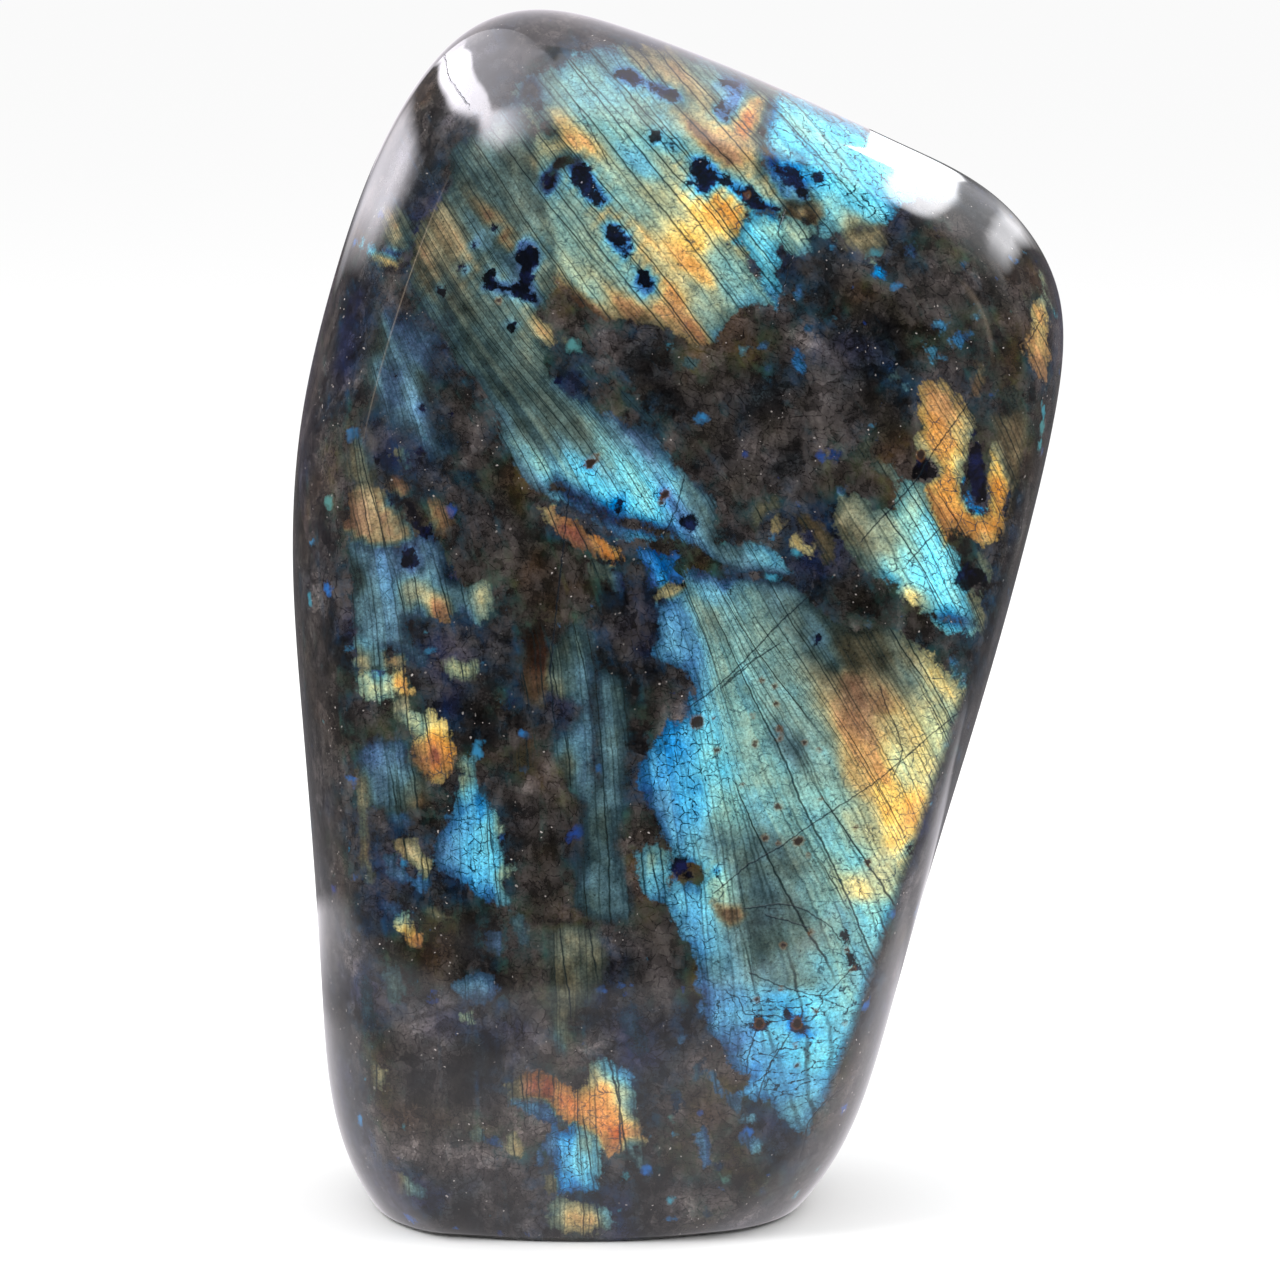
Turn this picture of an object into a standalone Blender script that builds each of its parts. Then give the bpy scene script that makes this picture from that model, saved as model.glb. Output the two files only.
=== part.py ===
"""Labradorite freeform: one block of stone, ground to a free outline, polished all over and
standing on a foot that is ground flat.

Frame: metres, +Z up, the polished show face looks along -Y. The origin is the middle of the foot's
plane, under the middle of the block's box.

The block is a cage of control points, smoothed by a Subdivision Surface. Seen from the front, the
girth is the widest outline. From the girth, a narrow flank runs forward and back to a ridge, and
inside the ridge lies a broad, slightly domed face.
"""

import bmesh
import bpy
from mathutils import Vector

MM = 0.001

# Driving dimensions, in millimetres.
HEIGHT = 251.0
FOOT_HALF_DEPTH = 42.0   # from the girth to the face, at the foot
TOP_THINNING = 20.0      # how much thinner each half is at the crown
CROWN = 5.0              # how far the middle of a face domes past its ridge

# The girth's outline as four runs of points: (x, z, how far inside the girth the ridge lies).
LEFT_RUN = (
    (-61.0, -9.0, 16.0),
    (-73.5, -0.5, 16.0),
    (-75.0, 19.0, 14.0),
    (-76.0, 45.0, 12.0),
    (-78.0, 83.0, 11.0),
    (-81.0, 122.0, 11.0),
    (-82.3, 146.0, 12.5),
    (-79.8, 171.0, 14.0),
    (-73.7, 194.0, 15.0),
    (-66.6, 216.5, 16.5),
    (-58.8, 235.0, 17.0),
    (-48.0, 248.5, 16.0),
)
TOP_RUN = (
    (-48.0, 248.5, 16.0),
    (-37.0, 254.0, 13.0),
    (-23.5, 253.2, 11.0),
    (-6.0, 246.8, 10.0),
    (19.0, 237.0, 9.5),
    (44.0, 225.5, 11.0),
    (68.0, 215.3, 16.0),
)
RIGHT_RUN = (
    (22.5, -8.5, 18.0),
    (34.5, 5.0, 16.5),
    (41.0, 19.0, 13.5),
    (45.3, 38.5, 10.0),
    (51.6, 64.0, 8.5),
    (59.1, 90.0, 7.5),
    (66.3, 115.0, 6.5),
    (73.0, 141.0, 6.0),
    (79.2, 166.0, 7.5),
    (83.4, 184.0, 11.0),
    (81.2, 201.0, 15.0),
    (68.0, 215.3, 16.0),
)
FOOT_RUN = (
    (-61.0, -9.0, 16.0),
    (-18.0, -13.0, 10.0),
    (22.5, -8.5, 18.0),
)

# The cage: cells across and up each face, and where its rings lie between the girth and the ridge.
CELLS_ACROSS = 6
CELLS_UP = 9
FLANK_INSET_SHARE = 0.26   # of the way from the girth in to the ridge
FLANK_DEPTH_SHARE = 0.60   # of the way from the girth out to the face
FRONT_RIDGE_DEPTH_SHARE = 0.95
BACK_RIDGE_DEPTH_SHARE = 0.84
RIDGE_CREASE = 0.30
SMOOTHING_LEVELS = 2
FOOT_RIM_RADIUS = 1.5


def catmull_rom(before, start, end, after, t):
    """The point at t, from 0 to 1, on the smooth curve from start to end."""
    return 0.5 * (
        2 * start
        + (end - before) * t
        + (2 * before - 5 * start + 4 * end - after) * t**2
        + (3 * start - before - 3 * end + after) * t**3
    )


def along(run, count):
    """count + 1 points, evenly spaced along the smooth curve through a run's points."""
    knots = [Vector(point) for point in run]
    knots = [2 * knots[0] - knots[1], *knots, 2 * knots[-1] - knots[-2]]
    steps = 24
    fine = [
        catmull_rom(*knots[i : i + 4], step / steps)
        for i in range(len(knots) - 3)
        for step in range(steps)
    ]
    fine.append(knots[-2])
    travelled = [0.0]
    for a, b in zip(fine, fine[1:]):
        travelled.append(travelled[-1] + (b.xy - a.xy).length)
    points = []
    here = 0
    for i in range(count + 1):
        wanted = travelled[-1] * i / count
        while here < len(fine) - 2 and travelled[here + 1] < wanted:
            here += 1
        stretch = travelled[here + 1] - travelled[here]
        points.append(fine[here].lerp(fine[here + 1], (wanted - travelled[here]) / stretch))
    return points


def girth_loop():
    """The cage's girth, counter-clockwise from the foot's left end: (x, z, ridge inset)."""
    foot = along(FOOT_RUN, CELLS_ACROSS)
    right = along(RIGHT_RUN, CELLS_UP)
    top = along(TOP_RUN, CELLS_ACROSS)
    left = along(LEFT_RUN, CELLS_UP)
    return foot[:-1] + right[:-1] + top[:0:-1] + left[:0:-1]


def half_depth(z):
    """How far a face's ridge plane lies from the girth at this height."""
    return FOOT_HALF_DEPTH - TOP_THINNING * (max(z, 0.0) / HEIGHT) ** 3


def ring(girth, inset_share, depth_share, side):
    """One loop of the cage: side is -1 towards the show face, and 1 towards the back."""
    points = []
    for i, (x, z, ridge_inset) in enumerate(girth):
        before = girth[i - 1]
        after = girth[(i + 1) % len(girth)]
        inward = Vector((before.y - after.y, after.x - before.x)).normalized()
        x += inward.x * ridge_inset * inset_share
        z += inward.y * ridge_inset * inset_share
        points.append(Vector((x, side * depth_share * half_depth(z), z)))
    return points


def face_grid(ridge, side, ridge_depth_share):
    """The rows of a face's control points, from the foot up, spanned between the ridge's sides."""
    right_corner = CELLS_ACROSS
    top_corner = CELLS_ACROSS + CELLS_UP
    left_top = top_corner + CELLS_ACROSS
    foot = ridge[: right_corner + 1]
    right = ridge[right_corner : top_corner + 1]
    top = ridge[top_corner : left_top + 1][::-1]
    left = [ridge[0], *ridge[:left_top - 1 : -1]]
    rows = []
    for j in range(CELLS_UP + 1):
        v = j / CELLS_UP
        row = []
        for i in range(CELLS_ACROSS + 1):
            u = i / CELLS_ACROSS
            span = (
                foot[i].lerp(top[i], v)
                + left[j].lerp(right[j], u)
                - foot[0].lerp(foot[-1], u).lerp(top[0].lerp(top[-1], u), v)
            )
            dome = (1 - (2 * u - 1) ** 2) * (1 - (2 * v - 1) ** 2)
            if dome > 0:
                rise = CROWN + (1 - ridge_depth_share) * half_depth(span.z)
                span.y += side * rise * dome**0.5
            row.append(span)
        rows.append(row)
    return rows


def add_cage(bm):
    """Adds the cage to the mesh, and returns the edges along its two ridges."""
    girth = girth_loop()
    loops = []
    ridge_loops = []
    for side, ridge_share in ((-1, FRONT_RIDGE_DEPTH_SHARE), (1, BACK_RIDGE_DEPTH_SHARE)):
        ridge = ring(girth, 1.0, ridge_share, side)
        grid = [
            [bm.verts.new(point) for point in row] for row in face_grid(ridge, side, ridge_share)
        ]
        for low, high in zip(grid, grid[1:]):
            for i in range(CELLS_ACROSS):
                bm.faces.new((low[i], low[i + 1], high[i + 1], high[i]))
        ridge_loop = (
            grid[0][:-1]
            + [row[-1] for row in grid[:-1]]
            + grid[-1][:0:-1]
            + [row[0] for row in grid[:0:-1]]
        )
        flank = ring(girth, FLANK_INSET_SHARE, FLANK_DEPTH_SHARE, side)
        ridge_loops.append(ridge_loop)
        loops.append([ridge_loop, [bm.verts.new(point) for point in flank]])
    middle = [bm.verts.new(point) for point in ring(girth, 0.0, 0.0, 1)]
    order = [loops[0][0], loops[0][1], middle, loops[1][1], loops[1][0]]
    count = len(middle)
    for one, other in zip(order, order[1:]):
        for i in range(count):
            after = (i + 1) % count
            bm.faces.new((one[i], one[after], other[after], other[i]))
    return [
        bm.edges.get((loop[i], loop[(i + 1) % count])) for loop in ridge_loops for i in range(count)
    ]


def cage_mesh():
    """The cage as a mesh in metres, with its ridges creased."""
    bm = bmesh.new()
    crease = bm.edges.layers.float.new("crease_edge")
    for edge in add_cage(bm):
        edge[crease] = RIDGE_CREASE
    bmesh.ops.recalc_face_normals(bm, faces=bm.faces)
    bmesh.ops.scale(bm, vec=(MM, MM, MM), verts=bm.verts)
    mesh = bpy.data.meshes.new("cage")
    bm.to_mesh(mesh)
    bm.free()
    return mesh


def grind_foot(mesh):
    """Presses what hangs below the floor up onto it, and rounds the rim that this makes."""
    radius = FOOT_RIM_RADIUS * MM
    for vertex in mesh.vertices:
        z = vertex.co.z
        if z <= -radius:
            vertex.co.z = 0.0
        elif z < radius:
            vertex.co.z = (z + radius) ** 2 / (4 * radius)


def polished_stone_material():
    """Dark polished feldspar."""
    material = bpy.data.materials.new("polished labradorite")
    material.use_nodes = True
    shader = material.node_tree.nodes["Principled BSDF"]
    shader.inputs["Base Color"].default_value = (0.045, 0.085, 0.095, 1.0)
    shader.inputs["Roughness"].default_value = 0.08
    shader.inputs["IOR"].default_value = 1.56
    return material


def make_stone():
    """The block: the cage smoothed, then its foot ground flat."""
    cage = bpy.data.objects.new("cage", cage_mesh())
    bpy.context.collection.objects.link(cage)
    smoothing = cage.modifiers.new("Smoothing", "SUBSURF")
    smoothing.levels = SMOOTHING_LEVELS
    smoothing.render_levels = SMOOTHING_LEVELS
    bpy.context.view_layer.update()
    smoothed = cage.evaluated_get(bpy.context.evaluated_depsgraph_get())
    mesh = bpy.data.meshes.new_from_object(smoothed)
    bpy.data.objects.remove(cage)
    grind_foot(mesh)
    mesh.name = "stone"
    stone = bpy.data.objects.new("stone", mesh)
    bpy.context.collection.objects.link(stone)
    mesh.materials.append(polished_stone_material())
    mesh.shade_smooth()
    return stone


for leftover in list(bpy.data.objects):
    bpy.data.objects.remove(leftover)
make_stone()
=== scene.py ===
import math

import bmesh
import bpy
import numpy as np
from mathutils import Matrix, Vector


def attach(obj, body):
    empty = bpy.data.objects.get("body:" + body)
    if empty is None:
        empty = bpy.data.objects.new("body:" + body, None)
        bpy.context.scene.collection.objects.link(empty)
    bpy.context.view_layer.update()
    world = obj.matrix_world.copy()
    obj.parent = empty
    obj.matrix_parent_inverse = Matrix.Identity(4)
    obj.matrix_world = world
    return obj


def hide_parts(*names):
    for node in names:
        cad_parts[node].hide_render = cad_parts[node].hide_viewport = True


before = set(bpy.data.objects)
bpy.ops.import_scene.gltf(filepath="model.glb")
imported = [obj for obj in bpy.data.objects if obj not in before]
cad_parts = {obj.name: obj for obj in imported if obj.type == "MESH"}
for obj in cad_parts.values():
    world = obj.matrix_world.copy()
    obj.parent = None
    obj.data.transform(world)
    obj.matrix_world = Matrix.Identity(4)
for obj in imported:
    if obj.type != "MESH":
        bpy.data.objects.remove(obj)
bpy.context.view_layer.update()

# The block
# One piece of dark labradorite feldspar, sawn out of the rock and ground by hand to a free outline:
# a broad show face, rounded flanks, and a back that is left a little fuller.
# It was taken through ever finer grit to a mirror polish, and its foot was ground flat to stand on.

MM = 0.001
HEIGHT = 251.0
FOOT_HALF_DEPTH = 42.0   # from the girth to the face, at the foot
TOP_THINNING = 20.0      # how much thinner each half is at the crown
CROWN = 5.0              # how far the middle of a face domes past its ridge

# The girth's outline as four runs of points: (x, z, how far inside the girth the ridge lies).
LEFT_RUN = (
    (-61.0, -9.0, 16.0), (-73.5, -0.5, 16.0), (-75.0, 19.0, 14.0), (-76.0, 45.0, 12.0),
    (-78.0, 83.0, 11.0), (-81.0, 122.0, 11.0), (-82.3, 146.0, 12.5), (-79.8, 171.0, 14.0),
    (-73.7, 194.0, 15.0), (-66.6, 216.5, 16.5), (-58.8, 235.0, 17.0), (-48.0, 248.5, 16.0),
)
TOP_RUN = (
    (-48.0, 248.5, 16.0), (-37.0, 254.0, 13.0), (-23.5, 253.2, 11.0), (-6.0, 246.8, 10.0),
    (19.0, 237.0, 9.5), (44.0, 225.5, 11.0), (68.0, 215.3, 16.0),
)
RIGHT_RUN = (
    (22.5, -8.5, 18.0), (34.5, 5.0, 16.5), (41.0, 19.0, 13.5), (45.3, 38.5, 10.0),
    (51.6, 64.0, 8.5), (59.1, 90.0, 7.5), (66.3, 115.0, 6.5), (73.0, 141.0, 6.0),
    (79.2, 166.0, 7.5), (83.4, 184.0, 11.0), (81.2, 201.0, 15.0), (68.0, 215.3, 16.0),
)
FOOT_RUN = ((-61.0, -9.0, 16.0), (-18.0, -13.0, 10.0), (22.5, -8.5, 18.0))

# The cage: cells across and up each face, and where its rings lie between the girth and the ridge.
CELLS_ACROSS = 6
CELLS_UP = 9
FLANK_INSET_SHARE = 0.26
FLANK_DEPTH_SHARE = 0.60
FRONT_RIDGE_DEPTH_SHARE = 0.95
BACK_RIDGE_DEPTH_SHARE = 0.84
RIDGE_CREASE = 0.30
FOOT_RIM_RADIUS = 1.5


def catmull_rom(before, start, end, after, t):
    """The point at t, from 0 to 1, on the smooth curve from start to end."""
    return 0.5 * (
        2 * start
        + (end - before) * t
        + (2 * before - 5 * start + 4 * end - after) * t**2
        + (3 * start - before - 3 * end + after) * t**3
    )


def along(run, count):
    """count + 1 points, evenly spaced along the smooth curve through a run's points."""
    knots = [Vector(point) for point in run]
    knots = [2 * knots[0] - knots[1], *knots, 2 * knots[-1] - knots[-2]]
    steps = 24
    fine = [
        catmull_rom(*knots[i : i + 4], step / steps)
        for i in range(len(knots) - 3)
        for step in range(steps)
    ]
    fine.append(knots[-2])
    travelled = [0.0]
    for a, b in zip(fine, fine[1:]):
        travelled.append(travelled[-1] + (b.xy - a.xy).length)
    points = []
    here = 0
    for i in range(count + 1):
        wanted = travelled[-1] * i / count
        while here < len(fine) - 2 and travelled[here + 1] < wanted:
            here += 1
        stretch = travelled[here + 1] - travelled[here]
        points.append(fine[here].lerp(fine[here + 1], (wanted - travelled[here]) / stretch))
    return points


def girth_loop():
    """The cage's girth, counter-clockwise from the foot's left end: (x, z, ridge inset)."""
    foot = along(FOOT_RUN, CELLS_ACROSS)
    right = along(RIGHT_RUN, CELLS_UP)
    top = along(TOP_RUN, CELLS_ACROSS)
    left = along(LEFT_RUN, CELLS_UP)
    return foot[:-1] + right[:-1] + top[:0:-1] + left[:0:-1]


def half_depth(z):
    """How far a face's ridge plane lies from the girth at this height."""
    return FOOT_HALF_DEPTH - TOP_THINNING * (max(z, 0.0) / HEIGHT) ** 3


def ring(girth, inset_share, depth_share, side):
    """One loop of the cage: side is -1 towards the show face, and 1 towards the back."""
    points = []
    for i, (x, z, ridge_inset) in enumerate(girth):
        before = girth[i - 1]
        after = girth[(i + 1) % len(girth)]
        inward = Vector((before.y - after.y, after.x - before.x)).normalized()
        x += inward.x * ridge_inset * inset_share
        z += inward.y * ridge_inset * inset_share
        points.append(Vector((x, side * depth_share * half_depth(z), z)))
    return points


def face_grid(ridge, side, ridge_depth_share):
    """The rows of a face's control points, from the foot up, spanned between the ridge's sides."""
    right_corner = CELLS_ACROSS
    top_corner = CELLS_ACROSS + CELLS_UP
    left_top = top_corner + CELLS_ACROSS
    foot = ridge[: right_corner + 1]
    right = ridge[right_corner : top_corner + 1]
    top = ridge[top_corner : left_top + 1][::-1]
    left = [ridge[0], *ridge[: left_top - 1 : -1]]
    rows = []
    for j in range(CELLS_UP + 1):
        v = j / CELLS_UP
        row = []
        for i in range(CELLS_ACROSS + 1):
            u = i / CELLS_ACROSS
            span = (
                foot[i].lerp(top[i], v)
                + left[j].lerp(right[j], u)
                - foot[0].lerp(foot[-1], u).lerp(top[0].lerp(top[-1], u), v)
            )
            dome = (1 - (2 * u - 1) ** 2) * (1 - (2 * v - 1) ** 2)
            if dome > 0:
                rise = CROWN + (1 - ridge_depth_share) * half_depth(span.z)
                span.y += side * rise * dome**0.5
            row.append(span)
        rows.append(row)
    return rows


def add_cage(bm):
    """Adds the cage to the mesh, and returns the edges along its two ridges."""
    girth = girth_loop()
    loops = []
    ridge_loops = []
    for side, ridge_share in ((-1, FRONT_RIDGE_DEPTH_SHARE), (1, BACK_RIDGE_DEPTH_SHARE)):
        ridge = ring(girth, 1.0, ridge_share, side)
        grid = [
            [bm.verts.new(point) for point in row] for row in face_grid(ridge, side, ridge_share)
        ]
        for low, high in zip(grid, grid[1:]):
            for i in range(CELLS_ACROSS):
                bm.faces.new((low[i], low[i + 1], high[i + 1], high[i]))
        ridge_loop = (
            grid[0][:-1]
            + [row[-1] for row in grid[:-1]]
            + grid[-1][:0:-1]
            + [row[0] for row in grid[:0:-1]]
        )
        flank = ring(girth, FLANK_INSET_SHARE, FLANK_DEPTH_SHARE, side)
        ridge_loops.append(ridge_loop)
        loops.append([ridge_loop, [bm.verts.new(point) for point in flank]])
    middle = [bm.verts.new(point) for point in ring(girth, 0.0, 0.0, 1)]
    order = [loops[0][0], loops[0][1], middle, loops[1][1], loops[1][0]]
    count = len(middle)
    for one, other in zip(order, order[1:]):
        for i in range(count):
            after = (i + 1) % count
            bm.faces.new((one[i], one[after], other[after], other[i]))
    return [
        bm.edges.get((loop[i], loop[(i + 1) % count])) for loop in ridge_loops for i in range(count)
    ]


def cage_mesh():
    """The cage as a mesh in metres, with its ridges creased."""
    bm = bmesh.new()
    crease = bm.edges.layers.float.new("crease_edge")
    for edge in add_cage(bm):
        edge[crease] = RIDGE_CREASE
    bmesh.ops.recalc_face_normals(bm, faces=bm.faces)
    bmesh.ops.scale(bm, vec=(MM, MM, MM), verts=bm.verts)
    mesh = bpy.data.meshes.new("cage")
    bm.to_mesh(mesh)
    bm.free()
    return mesh


def refine_show_face(mesh):
    """Halves the mesh's spacing on the show face, where the fine markings are."""
    bm = bmesh.new()
    bm.from_mesh(mesh)
    bm.normal_update()
    edges = {edge for face in bm.faces if face.normal.y < SHOW_FACE_NORMAL for edge in face.edges}
    bmesh.ops.subdivide_edges(bm, edges=list(edges), cuts=1, use_grid_fill=True, smooth=1.0)
    bm.to_mesh(mesh)
    bm.free()


def grind_foot(mesh):
    """Presses what hangs below the floor up onto it, and rounds the rim that this makes."""
    radius = FOOT_RIM_RADIUS * MM
    for vertex in mesh.vertices:
        z = vertex.co.z
        if z <= -radius:
            vertex.co.z = 0.0
        elif z < radius:
            vertex.co.z = (z + radius) ** 2 / (4 * radius)


SMOOTHING_LEVELS = 4
SHOW_FACE_NORMAL = -0.955

cage = bpy.data.objects.new("cage", cage_mesh())
bpy.context.collection.objects.link(cage)
smoothing = cage.modifiers.new("Smoothing", "SUBSURF")
smoothing.levels = SMOOTHING_LEVELS
smoothing.render_levels = SMOOTHING_LEVELS
bpy.context.view_layer.update()
smoothed = cage.evaluated_get(bpy.context.evaluated_depsgraph_get())
mesh = bpy.data.meshes.new_from_object(smoothed)
bpy.data.objects.remove(cage)
refine_show_face(mesh)
grind_foot(mesh)
mesh.name = "labradorite"
mesh.shade_smooth()
stone = bpy.data.objects.new("labradorite", mesh)
bpy.context.collection.objects.link(stone)

# The flash
# Labradorite is grown through with sheets of two feldspars, a few hundred nanometres thick, which
# throw back one colour where they lie right. Each patch of them ends where the crystal was broken.
# They lie on the show face, on the back and on the flanks, where the polish lays them open.

positions = np.empty(len(mesh.vertices) * 3)
mesh.vertices.foreach_get("co", positions)
x, y, z = positions.reshape(-1, 3).T / MM
normals = np.empty(len(mesh.vertices) * 3)
mesh.vertices.foreach_get("normal", normals)
turned = np.abs(normals[::3])         # how far the surface has turned to the side

# The cleavage sheets run down through the block in gently bent courses. Each row is one course:
# its number, counted in millimetres across the face, and its x at each height.
COURSE_HEIGHTS = (0, 40, 70, 100, 130, 160, 190, 220, 250)
COURSES = np.array((
    (0, -66, -68, -69, -70, -71, -74, -80, -91, -106),
    (14, -49, -50, -51, -53, -57, -62, -68, -78, -92),
    (47, -16, -17, -18, -19, -22, -32, -50, -67, -82),
    (72, 22, 19, 14.5, 9, 1, -14, -38, -57, -74),
    (79, 50, 40, 29, 14, 4.5, -10, -34, -53, -70),
    (84, 60, 48, 36, 22, 8, -7, -31, -50, -67),
    (92, 70, 59, 49, 34, 14, -2, -26, -46, -63),
    (102, 78, 67, 56, 41.5, 24, 6, -18, -39, -57),
    (113, 86, 74, 64, 52.5, 36, 19, -5, -28, -48),
    (128, 98, 86, 77, 67, 54, 37, 14, -10, -32),
    (145, 110, 98, 88, 78, 68, 55, 35, 12, -12),
    (162, 122, 110, 100, 90, 81, 70, 56, 36, 10),
    (185, 138, 126, 115, 105, 96, 90, 78, 64, 42),
), float)


def course_number(x, z):
    """Which course of the cleavage runs through a place on the show face."""
    level = np.interp(z, COURSE_HEIGHTS, range(len(COURSE_HEIGHTS)))
    low = np.minimum(level.astype(int), len(COURSE_HEIGHTS) - 2)
    at = np.pad(COURSES[:, 1:], ((0, 0), (1, 1)), mode="edge")
    here = catmull_rom(at[:, low], at[:, low + 1], at[:, low + 2], at[:, low + 3], level - low)
    left = np.clip((here <= x).sum(axis=0) - 1, 0, len(COURSES) - 2)
    place = np.arange(len(x))
    share = (x - here[left, place]) / (here[left + 1, place] - here[left, place])
    return COURSES[left, 0] + share * (COURSES[left + 1, 0] - COURSES[left, 0])


# All shapes are drawn in millimetres, as x, z, x, z and so on. A patch's tones are (x, z, order,
# glow), with order and glow in percent. Order is the colour: from 0, violet-blue, over 40, cyan,
# 50, grey-green, 70, yellow, and 85, orange, to 100, dark red.
REACH = 6.0          # how far round a shape its depth is worked out
GIRTH_GAP = 2.2      # from the girth to where a patch tears off
FLANK_TURN = 0.63    # where a ridge turns the sheets out of the light
FLANK_FADE = 16.0    # millimetres of depth lost per unit of turn
RIDGE_SOFTNESS = 2.0
DEEP = 9.0           # no patch that wraps over a ridge counts as deeper than this
TONE_STRETCH = 0.35  # how much less a tone changes along the sheets than across them
TONE_BLUR = 1.5
OVERLAP = 1.2        # over which one patch passes into another

course = course_number(x, z)
flash_depth = np.full(len(x), -REACH)   # millimetres inside a patch, and below 0 in dark stone
flash_edge = np.full(len(x), 0.5)       # how softly the patch ends, in millimetres
flash_order = np.full(len(x), 0.4)
flash_glow = np.full(len(x), 0.5)
inclusion = np.full(len(x), -REACH)     # millimetres inside an inclusion


def drawn(path, width, side):
    """The vertices near a drawn shape, and how many millimetres inside it they lie.

    The shape is a closed outline, or, with a width, a line or a spot of that width. It is drawn from
    the front in (x, z) for side -1, from the back for 1, and on the left and right flank in (y, z)
    for -2 and 2.
    """
    across, towards = (x, y) if abs(side) == 1 else (y, x)
    path = np.array(path, float).reshape(-1, 2)
    low, high = path.min(axis=0) - REACH, path.max(axis=0) + REACH
    near = np.flatnonzero(
        (across > low[0]) & (across < high[0]) & (z > low[1]) & (z < high[1]) & (towards * side > 0)
    )
    place = np.stack((across[near], z[near]), axis=1)[:, None]
    start, end = path, np.roll(path, -1, axis=0)
    if width is not None and len(path) > 1:
        start, end = path[:-1], path[1:]
    run = end - start
    share = ((place - start) * run).sum(axis=2) / np.maximum((run**2).sum(axis=1), 1e-9)
    offset = place - start - np.clip(share, 0, 1)[..., None] * run
    away = np.sqrt((offset**2).sum(axis=2))
    row, nearest = np.arange(len(near)), away.argmin(axis=1)
    distance = away[row, nearest]
    if width is not None:
        turn = run[nearest, 0] * offset[row, nearest, 1]
        turn -= run[nearest, 1] * offset[row, nearest, 0]
        return near, width / 2 - distance, np.where(turn < 0, -distance, distance)
    above = (start[:, 1] > place[..., 1]) != (end[:, 1] > place[..., 1])
    rise = np.where(run[:, 1] == 0, 1e-9, run[:, 1])
    crossing = start[:, 0] + run[:, 0] * (place[..., 1] - start[:, 1]) / rise
    inside = (above & (place[..., 0] < crossing)).sum(axis=1) % 2 == 1
    return near, np.where(inside, distance, -distance), None


def flash(path, *tones, edge=0.5, width=None, side=-1, wraps=False):
    """Lays a patch of flash: tones are (x, z, order, glow), or one (order, glow) for all of it.

    It fades out softly at a ridge, unless it wraps over it, and tears off before the girth.
    """
    near, depth, _ = drawn(path, width, side)
    if abs(side) == 1:
        torn = np.abs(y[near]) - GIRTH_GAP - np.sin(z[near] / 1.7) - np.sin(x[near] / 3.1)
        depth = np.minimum(depth, torn)
    ridge = np.full(len(near), DEEP) if wraps else (FLANK_TURN - turned[near]) * FLANK_FADE
    edge = np.where(ridge < depth, RIDGE_SOFTNESS, edge)
    depth = np.minimum(depth, ridge)
    tones = np.array(tones, float)
    tones[:, -2:] /= 100
    if tones.shape[1] == 4:
        across = y[near][:, None] - tones[:, 0]
        if abs(side) == 1:
            across = course[near][:, None] - course_number(tones[:, 0], tones[:, 1])
        down = z[near][:, None] - tones[:, 1]
        weight = 1 / (across**2 + TONE_STRETCH * down**2 + TONE_BLUR) ** 2
        weight /= weight.sum(axis=1, keepdims=True)
        order, glow = weight @ tones[:, 2], weight @ tones[:, 3]
    else:
        order, glow = tones[0]
    before = flash_depth[near]
    taken = np.where(before > 0, np.clip(0.5 + depth / OVERLAP, 0, 1), depth > before)
    flash_order[near] += taken * (order - flash_order[near])
    flash_glow[near] += taken * (glow - flash_glow[near])
    flash_edge[near] += taken * (edge - flash_edge[near])
    flash_depth[near] = np.maximum(before, depth)


def vein(path, width=None, halo=0.9, side=-1):
    """Cuts the flash with dark stone, beside which it turns bluer and dimmer."""
    near, depth, _ = drawn(path, width, side)
    beside = np.maximum(-depth, 0)
    flash_order[near] -= 0.2 * halo * np.exp(-beside / 1.0)
    flash_glow[near] *= 1 - 0.25 * halo * np.exp(-beside / 0.8)
    flash_depth[near] = np.minimum(flash_depth[near], -depth)


def pit(path, width=None, halo=1.0, side=-1):
    """Sets a black inclusion into the flash, with a bright blue rim."""
    near, depth, _ = drawn(path, width, side)
    ripple = 1 + 0.5 * np.sin(1.9 * x[near]) * np.sin(1.6 * z[near] + 1)
    rim = halo * np.exp(-np.maximum(-depth, 0) / (0.9 * ripple))
    flash_order[near] += rim * (0.17 - flash_order[near])
    flash_glow[near] += rim * (np.maximum(flash_glow[near], 0.66) - flash_glow[near])
    inclusion[near] = np.maximum(inclusion[near], depth)


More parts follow.
